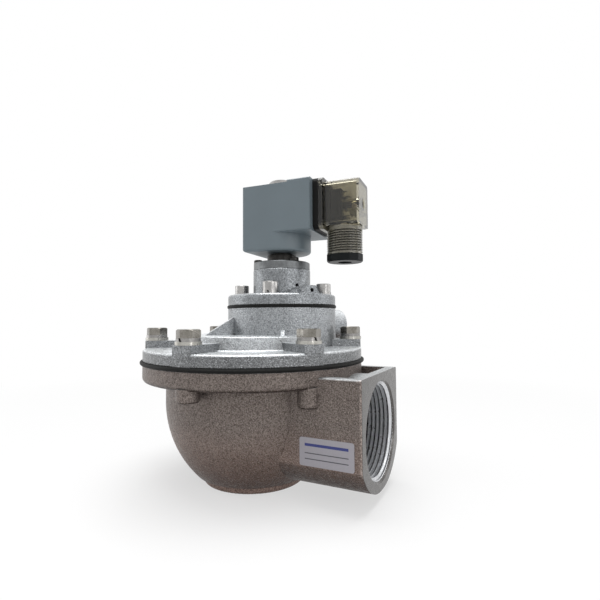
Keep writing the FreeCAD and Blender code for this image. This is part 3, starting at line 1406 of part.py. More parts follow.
def connector_screw():
    """Long screw that holds the plug to the coil."""
    head_start = PLUG_END - PLUG_SCREW_RECESS
    head_end = head_start + PLUG_SCREW_HEAD_HEIGHT
    head = level_rod(PLUG_SCREW_HEAD_RADIUS, head_start, head_end, PLUG_AXIS_HEIGHT)
    tip = COIL_NOSE_REACH - PLUG_SCREW_GRIP + 0.5
    shank = level_rod(PLUG_SCREW_RADIUS, tip, head_start, PLUG_AXIS_HEIGHT)
    slot = level_box(
        head_start + PLUG_SCREW_HEAD_HEIGHT - 0.8,
        head_start + PLUG_SCREW_HEAD_HEIGHT + 1,
        0.4,
        PLUG_AXIS_HEIGHT - PLUG_SCREW_HEAD_RADIUS - 1,
        PLUG_AXIS_HEIGHT + PLUG_SCREW_HEAD_RADIUS + 1,
    )
    return on_coil(head.fuse(shank).cut(slot))


def gland_nut():
    """Compression nut of the gland, with a many-sided head."""
    head_low = GLAND_END - GLAND_NUT_HEAD_HEIGHT
    radius = GLAND_RADIUS / math.cos(math.pi / GLAND_NUT_SIDES)
    corners = []
    for step in range(GLAND_NUT_SIDES):
        turn = 2 * math.pi * step / GLAND_NUT_SIDES
        corners.append((radius * math.cos(turn), radius * math.sin(turn), 0.6))
    head = prism(corners, head_low, GLAND_END).common(turned([
        (0, head_low, 0),
        (GLAND_RADIUS - 0.6, head_low, 0),
        (radius, head_low + 0.8, 0),
        (radius, GLAND_END, 0),
        (0, GLAND_END, 0),
    ]))
    shank = rod(GLAND_BORE_RADIUS - SLIDE_PLAY, GLAND_END, GLAND_END + GLAND_NUT_SHANK)
    bore = rod(GLAND_NUT_BORE, head_low - 1, GLAND_END + GLAND_NUT_SHANK + 1)
    return on_coil(moved(head.fuse(shank).cut(bore), GLAND_AXIS))


def gland_washer():
    """Thin washer between the gland nut and the grommet."""
    low = GLAND_END + GLAND_NUT_SHANK
    washer = ring(GLAND_BORE_RADIUS - SEAL_PLAY, GLAND_WASHER_BORE, low, low + GLAND_WASHER_THICKNESS)
    return on_coil(moved(washer, GLAND_AXIS))


def gland_grommet():
    """Rubber grommet that seals on a cable."""
    low = GLAND_END + GLAND_NUT_SHANK + GLAND_WASHER_THICKNESS
    grommet = turned([
        (GROMMET_BORE, low, 0.5),
        (GLAND_BORE_RADIUS - SEAL_PLAY, low, 0.5),
        (GLAND_BORE_RADIUS - SEAL_PLAY, low + GROMMET_HEIGHT, 0.8),
        (GROMMET_BORE, low + GROMMET_HEIGHT, 0.5),
    ])
    return on_coil(moved(grommet, GLAND_AXIS))


PIECES = [
    valve_body,
    main_diaphragm,
    main_upper_plate,
    main_seat_disc,
    main_stack_washer,
    main_stack_bolt,
    main_stack_nut,
    main_spring,
    main_cover,
    cover_bolts,
    cover_spring_washers,
    cover_flat_washers,
    pilot_diaphragm,
    pilot_upper_plate,
    pilot_seat_disc,
    pilot_rivet,
    pilot_spring,
    pilot_cover,
    pilot_cover_screws,
    pilot_cover_spring_washers,
    tube_o_ring,
    armature_tube,
    tube_clamp_plate,
    tube_screws,
    fixed_core,
    shading_ring,
    plunger,
    plunger_seal,
    plunger_spring,
    coil_housing,
    coil_terminals,
    coil_washer,
    coil_nut,
    connector_gasket,
    connector_housing,
    connector_carrier,
    connector_contacts,
    contact_screws,
    indicator_board,
    indicator_lamp,
    connector_screw,
    gland_washer,
    gland_grommet,
    gland_nut,
]


def main():
    """Build every piece and write it as a STEP file of its own name."""
    os.makedirs("parts", exist_ok=True)
    for piece in PIECES:
        shape = piece()
        shape.exportStep(os.path.join("parts", piece.__name__ + ".step"))
        print(piece.__name__, len(shape.Solids), "solids,", shape.isValid(), round(shape.Volume, 2))


if __name__ == "__main__":
    main()
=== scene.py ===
"""Looks of a right-angle pulse valve for a dust collector: finishes, threads, label and studio.

Metres, +Z up, in the part's own frame. The bottom port's face is at the origin, the side port
opens along +X, and the coil with its cable plug stands on the pilot stage beside the valve axis.
"""
from __future__ import annotations

import json
import logging
import math
from dataclasses import dataclass, field
from enum import Enum

import bmesh
import bpy
from bpy.types import Material, Object
from mathutils import Matrix, Vector


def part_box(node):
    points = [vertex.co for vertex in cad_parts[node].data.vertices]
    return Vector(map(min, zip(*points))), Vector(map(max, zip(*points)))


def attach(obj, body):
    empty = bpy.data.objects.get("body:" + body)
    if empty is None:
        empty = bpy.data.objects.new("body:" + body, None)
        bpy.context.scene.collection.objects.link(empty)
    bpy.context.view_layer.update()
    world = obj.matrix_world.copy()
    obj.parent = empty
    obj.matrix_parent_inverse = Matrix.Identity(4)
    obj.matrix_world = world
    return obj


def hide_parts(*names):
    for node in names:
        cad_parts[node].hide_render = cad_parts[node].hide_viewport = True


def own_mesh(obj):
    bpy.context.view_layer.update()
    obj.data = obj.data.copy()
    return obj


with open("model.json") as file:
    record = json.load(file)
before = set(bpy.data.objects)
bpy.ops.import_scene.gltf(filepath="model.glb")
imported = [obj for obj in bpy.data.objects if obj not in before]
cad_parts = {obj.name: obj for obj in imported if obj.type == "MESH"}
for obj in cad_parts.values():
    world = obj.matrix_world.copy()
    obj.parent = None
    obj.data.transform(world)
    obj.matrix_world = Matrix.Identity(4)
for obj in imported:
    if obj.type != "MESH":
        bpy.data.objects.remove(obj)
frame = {"nodes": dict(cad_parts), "record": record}

MM = 0.001
WELD = 0.001 * MM
LOG = logging.getLogger("pulse_valve")
WHITE = (1.0, 1.0, 1.0)
UP = Vector((0, 0, 1))
SMOOTH_ANGLE = math.radians(30.0)

Colour = tuple[float, float, float]
Socket = bpy.types.NodeSocket
Value = Socket | float | Colour | Vector


class Body(Enum):
    """Bodies that the new pieces ride on."""

    VALVE = "valve"
    COIL = "coil"


class Slot(Enum):
    """Material slots of the record."""

    SPRING_STEEL = "spring_steel"
    CAST_ALUMINIUM = "cast_aluminium"
    COVER_ALUMINIUM = "cover_aluminium"
    SMOKY_CLEAR = "smoky_clear"


class Edge(Enum):
    """Side of a plane on which a zone lies."""

    ABOVE = "GREATER_THAN"
    BELOW = "LESS_THAN"


def lift(colour: Colour, factor: float) -> Colour:
    """Return the colour made lighter or darker by a factor."""
    return tuple(min(1.0, channel * factor) for channel in colour)


class Wiring:
    """Node tree that is built step by step."""

    def __init__(self, tree: bpy.types.NodeTree) -> None:
        """Start from the nodes that a tree already has."""
        self.nodes = tree.nodes
        self.links = tree.links

    def plug(self, target: Socket, value: Value) -> None:
        """Link or set one input.

        Args:
            target: Input socket.
            value: Output socket to link, or a constant to set.
        """
        if isinstance(value, Socket):
            self.links.new(value, target)
        elif isinstance(value, tuple) and len(target.default_value) == 4:
            target.default_value = (*value, 1.0)
        else:
            target.default_value = value

    def add(self, kind: str, *values: Value, operation: str = "") -> bpy.types.Node:
        """Add a node and fill its first inputs.

        Args:
            kind: Node type, without its prefix.
            values: Sockets to link or constants to set, in the order of the inputs.
            operation: What a maths node does.

        Returns:
            The new node.
        """
        node = self.nodes.new("ShaderNode" + kind)
        if operation:
            node.operation = operation
        for target, value in zip(node.inputs, values):
            self.plug(target, value)
        return node

    def maths(self, operation: str, first: Value, second: Value = 0.0) -> Socket:
        """Return the result of one sum, product or comparison."""
        return self.add("Math", first, second, operation=operation).outputs[0]

    def vector(self, operation: str, *values: Value, output: str = "Vector") -> Socket:
        """Return the result of one vector sum, product or length."""
        return self.add("VectorMath", *values, operation=operation).outputs[output]

    def ramp(self, source: Socket, low: float, high: float) -> Socket:
        """Return the source spread from 0 at low to 1 at high, clamped."""
        return self.add("MapRange", source, low, high).outputs["Result"]

    def span(self, source: Socket, low: float, high: float) -> Socket:
        """Return a 0 to 1 source spread from low to high."""
        return self.add("MapRange", source, 0.0, 1.0, low, high).outputs["Result"]

    def weigh(self, *rows: tuple[Socket, float]) -> Socket:
        """Return a weighted sum.

        Args:
            rows: Sources and their weights.

        Returns:
            The sum's socket.
        """
        total: Value = 0.0
        for source, weight in rows:
            total = self.maths("ADD", total, self.maths("MULTIPLY", source, weight))
        return total

    def seen(self) -> Socket:
        """Tell the rays that show the surroundings from those that only light the object.

        Returns:
            1 for camera, glossy and transmission rays, 0 for the others.
        """
        path = self.add("LightPath")
        share = path.outputs["Is Camera Ray"]
        for name in ("Is Glossy Ray", "Is Transmission Ray"):
            share = self.maths("MAXIMUM", share, path.outputs[name])
        return share


class Recipe(Wiring):
    """Node tree of one material, built round a Principled shader on object coordinates."""

    def __init__(self, name: str) -> None:
        """Start an empty material.

        Args:
            name: Name of the new material.
        """
        self.material = bpy.data.materials.new(name)
        self.material.use_nodes = True
        super().__init__(self.material.node_tree)
        self.shader = self.nodes["Principled BSDF"]
        self.place = self.add("TexCoord").outputs["Object"]

    def fix(self, name: str, value: Value) -> None:
        """Set one of the shader's sockets to a constant."""
        self.plug(self.shader.inputs[name], value)

    def feed(self, name: str, source: Socket) -> None:
        """Link a source to one of the shader's sockets."""
        self.links.new(source, self.shader.inputs[name])

    def noise(self, scale: float, detail: float) -> Socket:
        """Add a soft noise.

        Args:
            scale: Cells in each metre.
            detail: Number of finer layers.

        Returns:
            Its value, from 0 to 1.
        """
        node = self.add("TexNoise", self.place)
        node.inputs["Scale"].default_value = scale
        node.inputs["Detail"].default_value = detail
        return node.outputs["Fac"]

    def cells(self, scale: float) -> Socket:
        """Add a set of scattered points.

        Args:
            scale: Points along each metre.

        Returns:
            The distance to the nearest point.
        """
        node = self.add("TexVoronoi", self.place)
        node.inputs["Scale"].default_value = scale
        return node.outputs["Distance"]

    def blend(self, share: Value, first: Value, second: Value, way: str = "MIX") -> Socket:
        """Blend two colours.

        Args:
            share: 0 for the first colour, 1 for the full effect of the second.
            first: Colour or socket.
            second: Colour or socket.
            way: MIX lays the second over the first, MULTIPLY tints the first with it.

        Returns:
            The blended colour.
        """
        node = self.add("Mix")
        node.data_type = "RGBA"
        node.blend_type = way
        for place, value in ((0, share), (6, first), (7, second)):
            self.plug(node.inputs[place], value)
        return node.outputs[2]

    def bump(self, height: Socket, distance: float) -> Socket:
        """Raise the surface in its shading.

        Args:
            height: Height from 0 to 1.
            distance: Height of 1 in metres.

        Returns:
            The new surface normal.
        """
        node = self.add("Bump")
        node.inputs["Distance"].default_value = distance
        self.links.new(height, node.inputs["Height"])
        return node.outputs["Normal"]

    def axis(self, letter: str) -> Socket:
        """Return one coordinate of the object's own place."""
        return self.add("SeparateXYZ", self.place).outputs[letter]

    def facing(self) -> Socket:
        """Return how far the surface faces up: 1 for a top, 0 for a side, -1 for an underside."""
        return self.add("SeparateXYZ", self.add("NewGeometry").outputs["Normal"]).outputs["Z"]

    def from_line(self, point: Vector, direction: Vector) -> Socket:
        """Measure from a line.

        Args:
            point: Point on the line.
            direction: Unit direction of the line.

        Returns:
            The distance from it.
        """
        offset = self.vector("SUBTRACT", self.place, point)
        turned = self.vector("CROSS_PRODUCT", offset, direction)
        return self.vector("LENGTH", turned, output="Value")

    def along_line(self, point: Vector, direction: Vector) -> Socket:
        """Return the distance along a line from a point on it."""
        offset = self.vector("SUBTRACT", self.place, point)
        return self.vector("DOT_PRODUCT", offset, direction, output="Value")


@dataclass(frozen=True)
class Grain:
    """Layer of noise, spread from 0 at low to 1 at high."""

    scale: float
    detail: float
    low: float
    high: float

    def value(self, recipe: Recipe) -> Socket:
        """Return the layer's value."""
        return recipe.ramp(recipe.noise(self.scale, self.detail), self.low, self.high)


@dataclass(frozen=True)
class FaceZone:
    """Machined zone on one side of a plane."""

    letter: str
    limit: float
    side: Edge

    def mask(self, recipe: Recipe) -> Socket:
        """Return 1 inside the zone."""
        return recipe.maths(self.side.value, recipe.axis(self.letter), self.limit)


@dataclass(frozen=True)
class BoreZone:
    """Machined zone inside a bore."""

    mouth: Vector
    axis: Vector
    radius: float
    depth: float

    def mask(self, recipe: Recipe) -> Socket:
        """Mark the zone.

        Args:
            recipe: Node tree that is being built.

        Returns:
            1 inside the zone, 0 outside.
        """
        near = recipe.maths(Edge.BELOW.value, recipe.from_line(self.mouth, self.axis), self.radius)
        shallow = recipe.maths(Edge.ABOVE.value, recipe.along_line(self.mouth, self.axis), -self.depth)
        return recipe.maths("MULTIPLY", near, shallow)


@dataclass(frozen=True)
class EdgeBurr:
    """Straight edge that is left rough and bright."""

    point: Vector
    direction: Vector
    width: float
    full_share: float = 0.35

    def mask(self, recipe: Recipe) -> Socket:
        """Return 1 on the edge, falling to 0 at its width."""
        reach = recipe.from_line(self.point, self.direction)
        return recipe.ramp(reach, self.width, self.width * self.full_share)


@dataclass(frozen=True)
class HeightLightBand:
    """Painted light band: a colour multiplied into a casting from one height down to another, as painted
    highlight where it lightens and painted shade where it darkens.
    """

    tint: Colour
    low: float
    high: float
    wobble_scale: float = 28.0
    wobble_detail: float = 3.0
    wobble: float = 12.0 * MM

    def share(self, recipe: Recipe) -> Socket:
        """Return 0 above the band and 1 below it, with an uneven edge."""
        wobble = recipe.noise(self.wobble_scale, self.wobble_detail)
        return recipe.ramp(recipe.weigh((recipe.axis("Z"), 1.0), (wobble, self.wobble)), self.high, self.low)


@dataclass(frozen=True)
class CastFinish:
    """Grainy cast aluminium with dark pits, bright flecks and smooth machined zones."""

    name: str
    light: Colour
    dark: Colour
    machined: Colour
    roughness: float
    grain: float
    fleck_share: float
    pit_share: float = 0.0
    zones: tuple[FaceZone | BoreZone, ...] = ()
    burrs: tuple[EdgeBurr, ...] = ()
    # Painted light band by height: lightens or darkens the casting's lower part.
    foot: HeightLightBand | None = None
    # Painted highlight: colour that upward faces blend towards, with its dark share and the facing range
    # below.
    lit_top: Colour = (0.62, 0.64, 0.66)
    # Painted shade: colour multiplied into downward faces, over the facing range below.
    under_shade: Colour = (0.15, 0.09, 0.06)
    lit_top_from: float = 0.2
    lit_top_to: float = 0.75
    lit_top_dark: float = 0.5
    under_shade_from: float = -0.3
    under_shade_to: float = -0.75
    cloud: Grain = Grain(55.0, 4.0, 0.32, 0.68)
    mottle: Grain = Grain(460.0, 3.0, 0.34, 0.66)
    speck: Grain = Grain(1500.0, 2.0, 0.42, 0.58)
    fleck: Grain = Grain(2300.0, 1.0, 0.6, 0.68)
    fleck_lift: float = 1.9
    edge_grain: Grain = Grain(1300.0, 2.0, 0.44, 0.56)
    tool_marks: Grain = Grain(900.0, 2.0, 0.3, 0.7)
    mark_dark: float = 0.82
    pit_places: Grain = Grain(38.0, 1.0, 0.58, 0.62)
    pit_scale: float = 170.0
    pit_rim: float = 0.075
    pit_floor: float = 0.03
    pit_dark: float = 0.4
    pit_depth: float = 2.5
    cut_roughness: float = 0.22
    cut_relief: float = 0.1
    smoother: float = 0.07
    rougher: float = 0.09
    metallic: float = 0.75

    def skin(self, recipe: Recipe, shade: Socket) -> Socket:
        """Colour the raw skin.

        Args:
            recipe: Node tree that is being built.
            shade: 0 for the darkest grain, 1 for the lightest.

        Returns:
            The colour, with painted highlight on tops, painted shade on undersides, flecks and burrs.
        """
        colour = recipe.blend(shade, self.dark, self.light)
        # Painted light by height: the band below a height is lightened or darkened.
        if self.foot is not None:
            colour = recipe.blend(self.foot.share(recipe), colour, self.foot.tint, "MULTIPLY")
        facing = recipe.facing()
        # Painted highlight: upward faces blend towards a lighter colour.
        lit_top_colour = recipe.blend(shade, lift(self.lit_top, self.lit_top_dark), self.lit_top)
        colour = recipe.blend(recipe.ramp(facing, self.lit_top_from, self.lit_top_to), colour, lit_top_colour)
        # Painted shade: downward faces are darkened.
        under_shade_share = recipe.ramp(facing, self.under_shade_from, self.under_shade_to)
        colour = recipe.blend(under_shade_share, colour, self.under_shade, "MULTIPLY")
        share = recipe.maths("MULTIPLY", self.fleck.value(recipe), self.fleck_share)
        for burr in self.burrs:
            rough_edge = recipe.maths("MULTIPLY", burr.mask(recipe), self.edge_grain.value(recipe))
            share = recipe.maths("MAXIMUM", share, rough_edge)
        return recipe.blend(share, colour, lift(self.light, self.fleck_lift))

    def pits(self, recipe: Recipe) -> Socket:
        """Scatter blow holes over a few patches.

        Args:
            recipe: Node tree that is being built.

        Returns:
            1 in a pit, 0 between them.
        """
        pit = recipe.ramp(recipe.cells(self.pit_scale), self.pit_rim, self.pit_floor)
        patch = recipe.maths("MULTIPLY", pit, self.pit_places.value(recipe))
        return recipe.maths("MULTIPLY", patch, self.pit_share)

    def cut(self, recipe: Recipe) -> Value:
        """Mark the machined zones.

        Args:
            recipe: Node tree that is being built.

        Returns:
            1 inside any of the zones, 0 on the raw skin.
        """
        cut: Value = 0.0
        for zone in self.zones:
            cut = recipe.maths("MAXIMUM", cut, zone.mask(recipe))
        return cut

    def material(self) -> Material:
        """Build the node tree.

        Returns:
            The finished material.
        """
        recipe = Recipe(self.name)
        mottle = self.mottle.value(recipe)
        speck = self.speck.value(recipe)
        shade = recipe.weigh((self.cloud.value(recipe), 0.14), (mottle, 0.2), (speck, 0.66))
        pits = self.pits(recipe)
        colour = recipe.blend(pits, self.skin(recipe, shade), lift(self.dark, self.pit_dark))
        rough = recipe.span(mottle, self.roughness - self.smoother, self.roughness + self.rougher)
        height = recipe.weigh((mottle, 0.55), (speck, 0.45), (pits, -self.pit_depth))
        if self.zones:
            cut = self.cut(recipe)
            marks = self.tool_marks.value(recipe)
            polish = recipe.blend(marks, lift(self.machined, self.mark_dark), self.machined)
            colour = recipe.blend(cut, colour, polish)
            height = recipe.maths("MULTIPLY", height, recipe.span(cut, 1.0, self.cut_relief))
            rough = recipe.weigh((rough, 1.0), (cut, self.cut_roughness - self.roughness))
        recipe.feed("Base Color", colour)
        recipe.feed("Roughness", rough)
        recipe.feed("Normal", recipe.bump(height, self.grain))
        recipe.fix("Metallic", self.metallic)
        return recipe.material


@dataclass(frozen=True)
class MetalFinish:
    """Drawn, turned or plated metal with faint blotches and rubbed spots."""

    name: str
    light: Colour
    dark: Colour
    roughness: float
    grain: float = 0.01 * MM
    metallic: float = 1.0
    blotch: Grain = Grain(260.0, 4.0, 0.35, 0.65)
    rub: Grain = Grain(1500.0, 2.0, 0.35, 0.65)
    duller: float = 0.08
    shinier: float = 0.05

    def material(self) -> Material:
        """Build the node tree.

        Returns:
            The finished material.
        """
        recipe = Recipe(self.name)
        blotch = self.blotch.value(recipe)
        rub = self.rub.value(recipe)
        share = recipe.weigh((blotch, 0.65), (rub, 0.35))
        recipe.feed("Base Color", recipe.blend(share, self.dark, self.light))
        rough = recipe.span(blotch, self.roughness + self.duller, self.roughness - self.shinier)
        recipe.feed("Roughness", rough)
        recipe.feed("Normal", recipe.bump(rub, self.grain))
        recipe.fix("Metallic", self.metallic)
        return recipe.material


@dataclass(frozen=True)
class MouldFinish:
    """Moulded plastic or rubber with a fine skin."""

    name: str
    base: Colour
    spread: float
    roughness: float
    grain: float
    grain_scale: float = 2400.0
    sheen: float = 0.5
    flow: Grain = Grain(45.0, 3.0, 0.3, 0.7)
    unevenness: float = 0.05
    ior: float = 1.5

    def material(self) -> Material:
        """Build the node tree.

        Returns:
            The finished material.
        """
        recipe = Recipe(self.name)
        flow = self.flow.value(recipe)
        skin = recipe.noise(self.grain_scale, 2.0)
        tone = recipe.weigh((flow, 0.7), (skin, 0.3))
        colour = recipe.blend(tone, lift(self.base, 1.0 - self.spread), lift(self.base, 1.0 + self.spread))
        rough = recipe.span(flow, self.roughness - self.unevenness, self.roughness + self.unevenness)
        recipe.feed("Base Color", colour)
        recipe.feed("Roughness", rough)
        recipe.feed("Normal", recipe.bump(skin, self.grain))
        recipe.fix("IOR", self.ior)
        recipe.fix("Specular IOR Level", self.sheen)
        return recipe.material


@dataclass(frozen=True)
class ClearFinish:
    """Smoky clear plastic with faint flow lines, and painted shade in the grooves round the gland."""

    name: str
    tint: Colour
    roughness: float
    frosted_below: float
    gland_axis: Vector
    gland_radius: float
    flow: Grain = Grain(90.0, 3.0, 0.3, 0.7)
    flow_roughness: float = 0.06
    groove: float = 0.55 * MM
    crest: float = 0.1 * MM
    # Painted shade in the gland's grooves: share of the tint at their roots.
    groove_shade: float = 0.12
    crest_tone: float = 0.8
    gland_clearness: float = 0.6
    gland_roughness: float = 0.14
    ripple_scale: float = 600.0
    ripple: float = 0.015 * MM
    ior: float = 1.49

    def material(self) -> Material:
        """Build the node tree.

        Returns:
            The finished material.
        """
        recipe = Recipe(self.name)
        flow = self.flow.value(recipe)
        frost = recipe.maths(Edge.BELOW.value, recipe.axis("Z"), self.frosted_below)
        tint = recipe.blend(flow, lift(self.tint, 0.9), lift(self.tint, 1.08))
        reach = recipe.from_line(self.gland_axis, UP)
        crest = recipe.ramp(reach, self.gland_radius - self.groove, self.gland_radius - self.crest)
        # Painted shade: the gland's grooves are darkened towards their roots.
        shaded_rings = recipe.blend(crest, lift(self.tint, self.groove_shade), lift(self.tint, self.crest_tone))
        rough = recipe.span(flow, self.roughness, self.roughness + self.flow_roughness)
        recipe.feed("Base Color", recipe.blend(frost, tint, shaded_rings))
        recipe.feed("Transmission Weight", recipe.span(frost, 1.0, self.gland_clearness))
        recipe.feed("Roughness", recipe.weigh((rough, 1.0), (frost, self.gland_roughness)))
        recipe.feed("Normal", recipe.bump(recipe.noise(self.ripple_scale, 2.0), self.ripple))
        recipe.fix("IOR", self.ior)
        return recipe.material


@dataclass(frozen=True)
class LabelFinish:
    """White sticker with plain coloured rules and no lettering."""

    name: str
    low: Vector
    high: Vector
    paper: Colour
    ink: Colour
    grey: Colour
    fibre: Grain = Grain(1200.0, 2.0, 0.3, 0.7)
    left: float = 0.10
    right: float = 0.90
    band_foot: float = 0.70
    band_height: float = 0.10
    rule_feet: tuple[float, ...] = (0.24, 0.44)
    rule_height: float = 0.035
    relief: float = 0.008 * MM

    def bar(self, recipe: Recipe, foot: float, height: float) -> Socket:
        """Mark a bar across the label.

        Args:
            recipe: Node tree that is being built.
            foot: Share of the label's height at which the bar starts.
            height: Share of the label's height that it takes up.

        Returns:
            1 inside the bar, 0 outside.
        """
        across = self.high - self.low
        edges = (
            ("X", Edge.ABOVE, self.low.x + self.left * across.x),
            ("X", Edge.BELOW, self.low.x + self.right * across.x),
            ("Z", Edge.ABOVE, self.low.z + foot * across.z),
            ("Z", Edge.BELOW, self.low.z + (foot + height) * across.z),
        )
        inside: Value = 1.0
        for letter, side, limit in edges:
            inside = recipe.maths("MULTIPLY", inside, FaceZone(letter, limit, side).mask(recipe))
        return inside

    def material(self) -> Material:
        """Build the node tree.

        Returns:
            The finished material.
        """
        recipe = Recipe(self.name)
        fibre = self.fibre.value(recipe)
        colour = recipe.blend(fibre, lift(self.paper, 0.95), self.paper)
        colour = recipe.blend(self.bar(recipe, self.band_foot, self.band_height), colour, self.ink)
        for foot in self.rule_feet:
            colour = recipe.blend(self.bar(recipe, foot, self.rule_height), colour, self.grey)
        recipe.feed("Base Color", colour)
        recipe.feed("Normal", recipe.bump(fibre, self.relief))
        recipe.fix("Roughness", 0.32)
        recipe.fix("IOR", 1.45)
        return recipe.material


def mount(name: str) -> dict:
    """Return one mount of the record."""
    return next(item for item in frame["record"]["mounts"] if item["name"] == name)


def pick(piece: Object) -> None:
    """Select one object alone and make it active.

    Args:
        piece: Object that the next operator works on.
    """
    bpy.ops.object.select_all(action="DESELECT")
    piece.select_set(True)
    bpy.context.view_layer.objects.active = piece


def adopt(name: str) -> Object:
    """Name the object that an operator has just made.

    Args:
        name: Its new name.

    Returns:
        The object.
    """
    piece = bpy.context.object
    piece.name = name
    piece.data.name = name
    return piece


def apply_modifier(piece: Object, kind: str, **settings: object) -> None:
    """Add a modifier and apply it.

    Args:
        piece: Object that is changed.
        kind: Modifier type.
        settings: Its properties.
    """
    pick(piece)
    modifier = piece.modifiers.new(kind.lower(), kind)
    for key, value in settings.items():
        setattr(modifier, key, value)
    bpy.ops.object.modifier_apply(modifier=modifier.name)


def settle(piece: Object) -> None:
    """Put the piece's place, turn and size into its mesh."""
    pick(piece)
    bpy.ops.object.transform_apply(location=True, rotation=True, scale=True)


def smooth(piece: Object) -> None:
    """Shade the piece smooth, apart from its sharp edges."""
    pick(piece)
    bpy.ops.object.shade_smooth_by_angle(angle=SMOOTH_ANGLE)


def cut_away(piece: Object, tool: Object) -> None:
    """Cut a tool's shape out of a piece, and delete the tool.

    Args:
        piece: Object that is cut.
        tool: Closed object to cut away.
    """
    apply_modifier(piece, "BOOLEAN", operation="DIFFERENCE", solver="EXACT", object=tool)
    mesh = tool.data
    bpy.data.objects.remove(tool)
    bpy.data.meshes.remove(mesh)


def node_copy(node: str, name: str) -> Object:
    """Copy a CAD node and merge its loose triangles.

    Args:
        node: Node of the frame.
        name: Name of the new piece.

    Returns:
        The copy, at the node's place.
    """
    piece = bpy.data.objects.new(name, frame["nodes"][node].data.copy())
    bpy.context.scene.collection.objects.link(piece)
    pick(piece)
    bpy.ops.object.mode_set(mode="EDIT")
    bpy.ops.mesh.select_all(action="SELECT")
    bpy.ops.mesh.remove_doubles(threshold=WELD)
    bpy.ops.mesh.customdata_custom_splitnormals_clear()
    bpy.ops.object.mode_set(mode="OBJECT")
    return piece


@dataclass
class HelixRidge:
    """Ridge that winds about the Z axis from the origin downwards, with a trapezium section."""

    base_radius: float
    crest_radius: float
    base_width: float
    crest_width: float
    pitch: float
    turns: int
    top: float
    steps: int = 96

    def section(self, name: str) -> Object:
        """Draw the ridge's section at its lower end.

        Args:
            name: Name of the new object.

        Returns:
            The section's four edges.
        """
        height = self.top - self.turns * self.pitch
        middle = (self.base_radius + self.crest_radius) / 2
        reach = abs(self.base_radius - self.crest_radius)
        bpy.ops.mesh.primitive_plane_add(size=1.0, location=(middle, 0, height), rotation=(math.pi / 2, 0, 0))
        ridge = adopt(name)
        ridge.scale = (reach, self.base_width, 1)
        settle(ridge)
        bpy.ops.object.mode_set(mode="EDIT")
        bpy.ops.mesh.select_mode(type="VERT")
        bpy.ops.mesh.select_all(action="DESELECT")
        edit = bmesh.from_edit_mesh(ridge.data)
        for vertex in edit.verts:
            vertex.select_set(abs(vertex.co.x - self.crest_radius) < reach / 2)
        edit.select_flush(True)
        bmesh.update_edit_mesh(ridge.data)
        narrowing = (1, 1, self.crest_width / self.base_width)
        bpy.ops.transform.resize(value=narrowing, center_override=(0, 0, height))
        bpy.ops.mesh.select_all(action="SELECT")
        bpy.ops.mesh.delete(type="ONLY_FACE")
        bpy.ops.object.mode_set(mode="OBJECT")
        return ridge

    def build(self, name: str) -> Object:
        """Wind the section up to the top.

        Args:
            name: Name of the new object.

        Returns:
            The ridge as a closed mesh.
        """
        ridge = self.section(name)
        apply_modifier(
            ridge,
            "SCREW",
            axis="Z",
            angle=2 * math.pi,
            screw_offset=self.pitch,
            iterations=self.turns,
            steps=self.steps,
            render_steps=self.steps,
            use_merge_vertices=False,
        )
        bpy.ops.object.mode_set(mode="EDIT")
        bpy.ops.mesh.select_all(action="SELECT")
        bpy.ops.mesh.remove_doubles(threshold=WELD / 10)
        bpy.ops.mesh.fill_holes(sides=4)
        bpy.ops.mesh.select_all(action="SELECT")
        bpy.ops.mesh.normals_make_consistent(inside=False)
        bpy.ops.object.mode_set(mode="OBJECT")
        return ridge


@dataclass
class PortThread:
    """Internal pipe thread in one of the ports, made about +Z with its mouth at the origin."""

    name: str
    mouth: Vector
    axis: Vector
    major_radius: float
    pitch: float
    depth: float
    chamfer: float = 0.0
    root: float = 0.3 * MM
    flank: float = math.tan(math.radians(27.5))
    depth_share: float = 0.6403
    crest_share: float = 0.17
    widest_share: float = 0.97
    cone_reach: float = 2.5
    cone_gap: float = 0.1 * MM
    cone_sides: int = 192

    @property
    def minor_radius(self) -> float:
        """Radius at the ridge's crest."""
        return self.major_radius - self.depth_share * self.pitch

    def ridge(self) -> Object:
        """Wind the thread's ridge.

        Returns:
            The ridge, past both ends of the thread.
        """
        crest = self.crest_share * self.pitch
        reach = self.major_radius + self.root - self.minor_radius
        return HelixRidge(
            base_radius=self.major_radius + self.root,
            crest_radius=self.minor_radius,
            base_width=min(crest + 2 * self.flank * reach, self.widest_share * self.pitch),
            crest_width=crest,
            pitch=self.pitch,
            turns=math.floor(self.depth / self.pitch) + 1,
            top=self.pitch,
        ).build(self.name)

    def lead_in(self) -> Object:
        """Add the cone that opens outwards through the mouth.

        Returns:
            The cone, to cut away.
        """
        mouth_radius = self.major_radius + self.chamfer
        low = self.minor_radius - mouth_radius - self.cone_gap
        high = self.cone_reach * self.pitch
        bpy.ops.mesh.primitive_cone_add(
            vertices=self.cone_sides,
            radius1=mouth_radius + low,
            radius2=mouth_radius + high,
            depth=high - low,
            location=(0, 0, (high + low) / 2),
        )
        cone = adopt("lead_in_cone")
        settle(cone)
        return cone

    def build(self) -> Object:
        """Cut the ridge back at its mouth and put it into the port.

        Returns:
            The finished thread.
        """
        ridge = self.ridge()
        cut_away(ridge, self.lead_in())
        turn = self.axis.to_track_quat("Z", "Y").to_matrix().to_4x4()
        ridge.matrix_world = Matrix.Translation(self.mouth) @ turn
        settle(ridge)
        smooth(ridge)
        return ridge


@dataclass(frozen=True)
class Stroke:
    """How a joint presses a spring together."""

    joint: str
    fixed_end: float
    travel: float


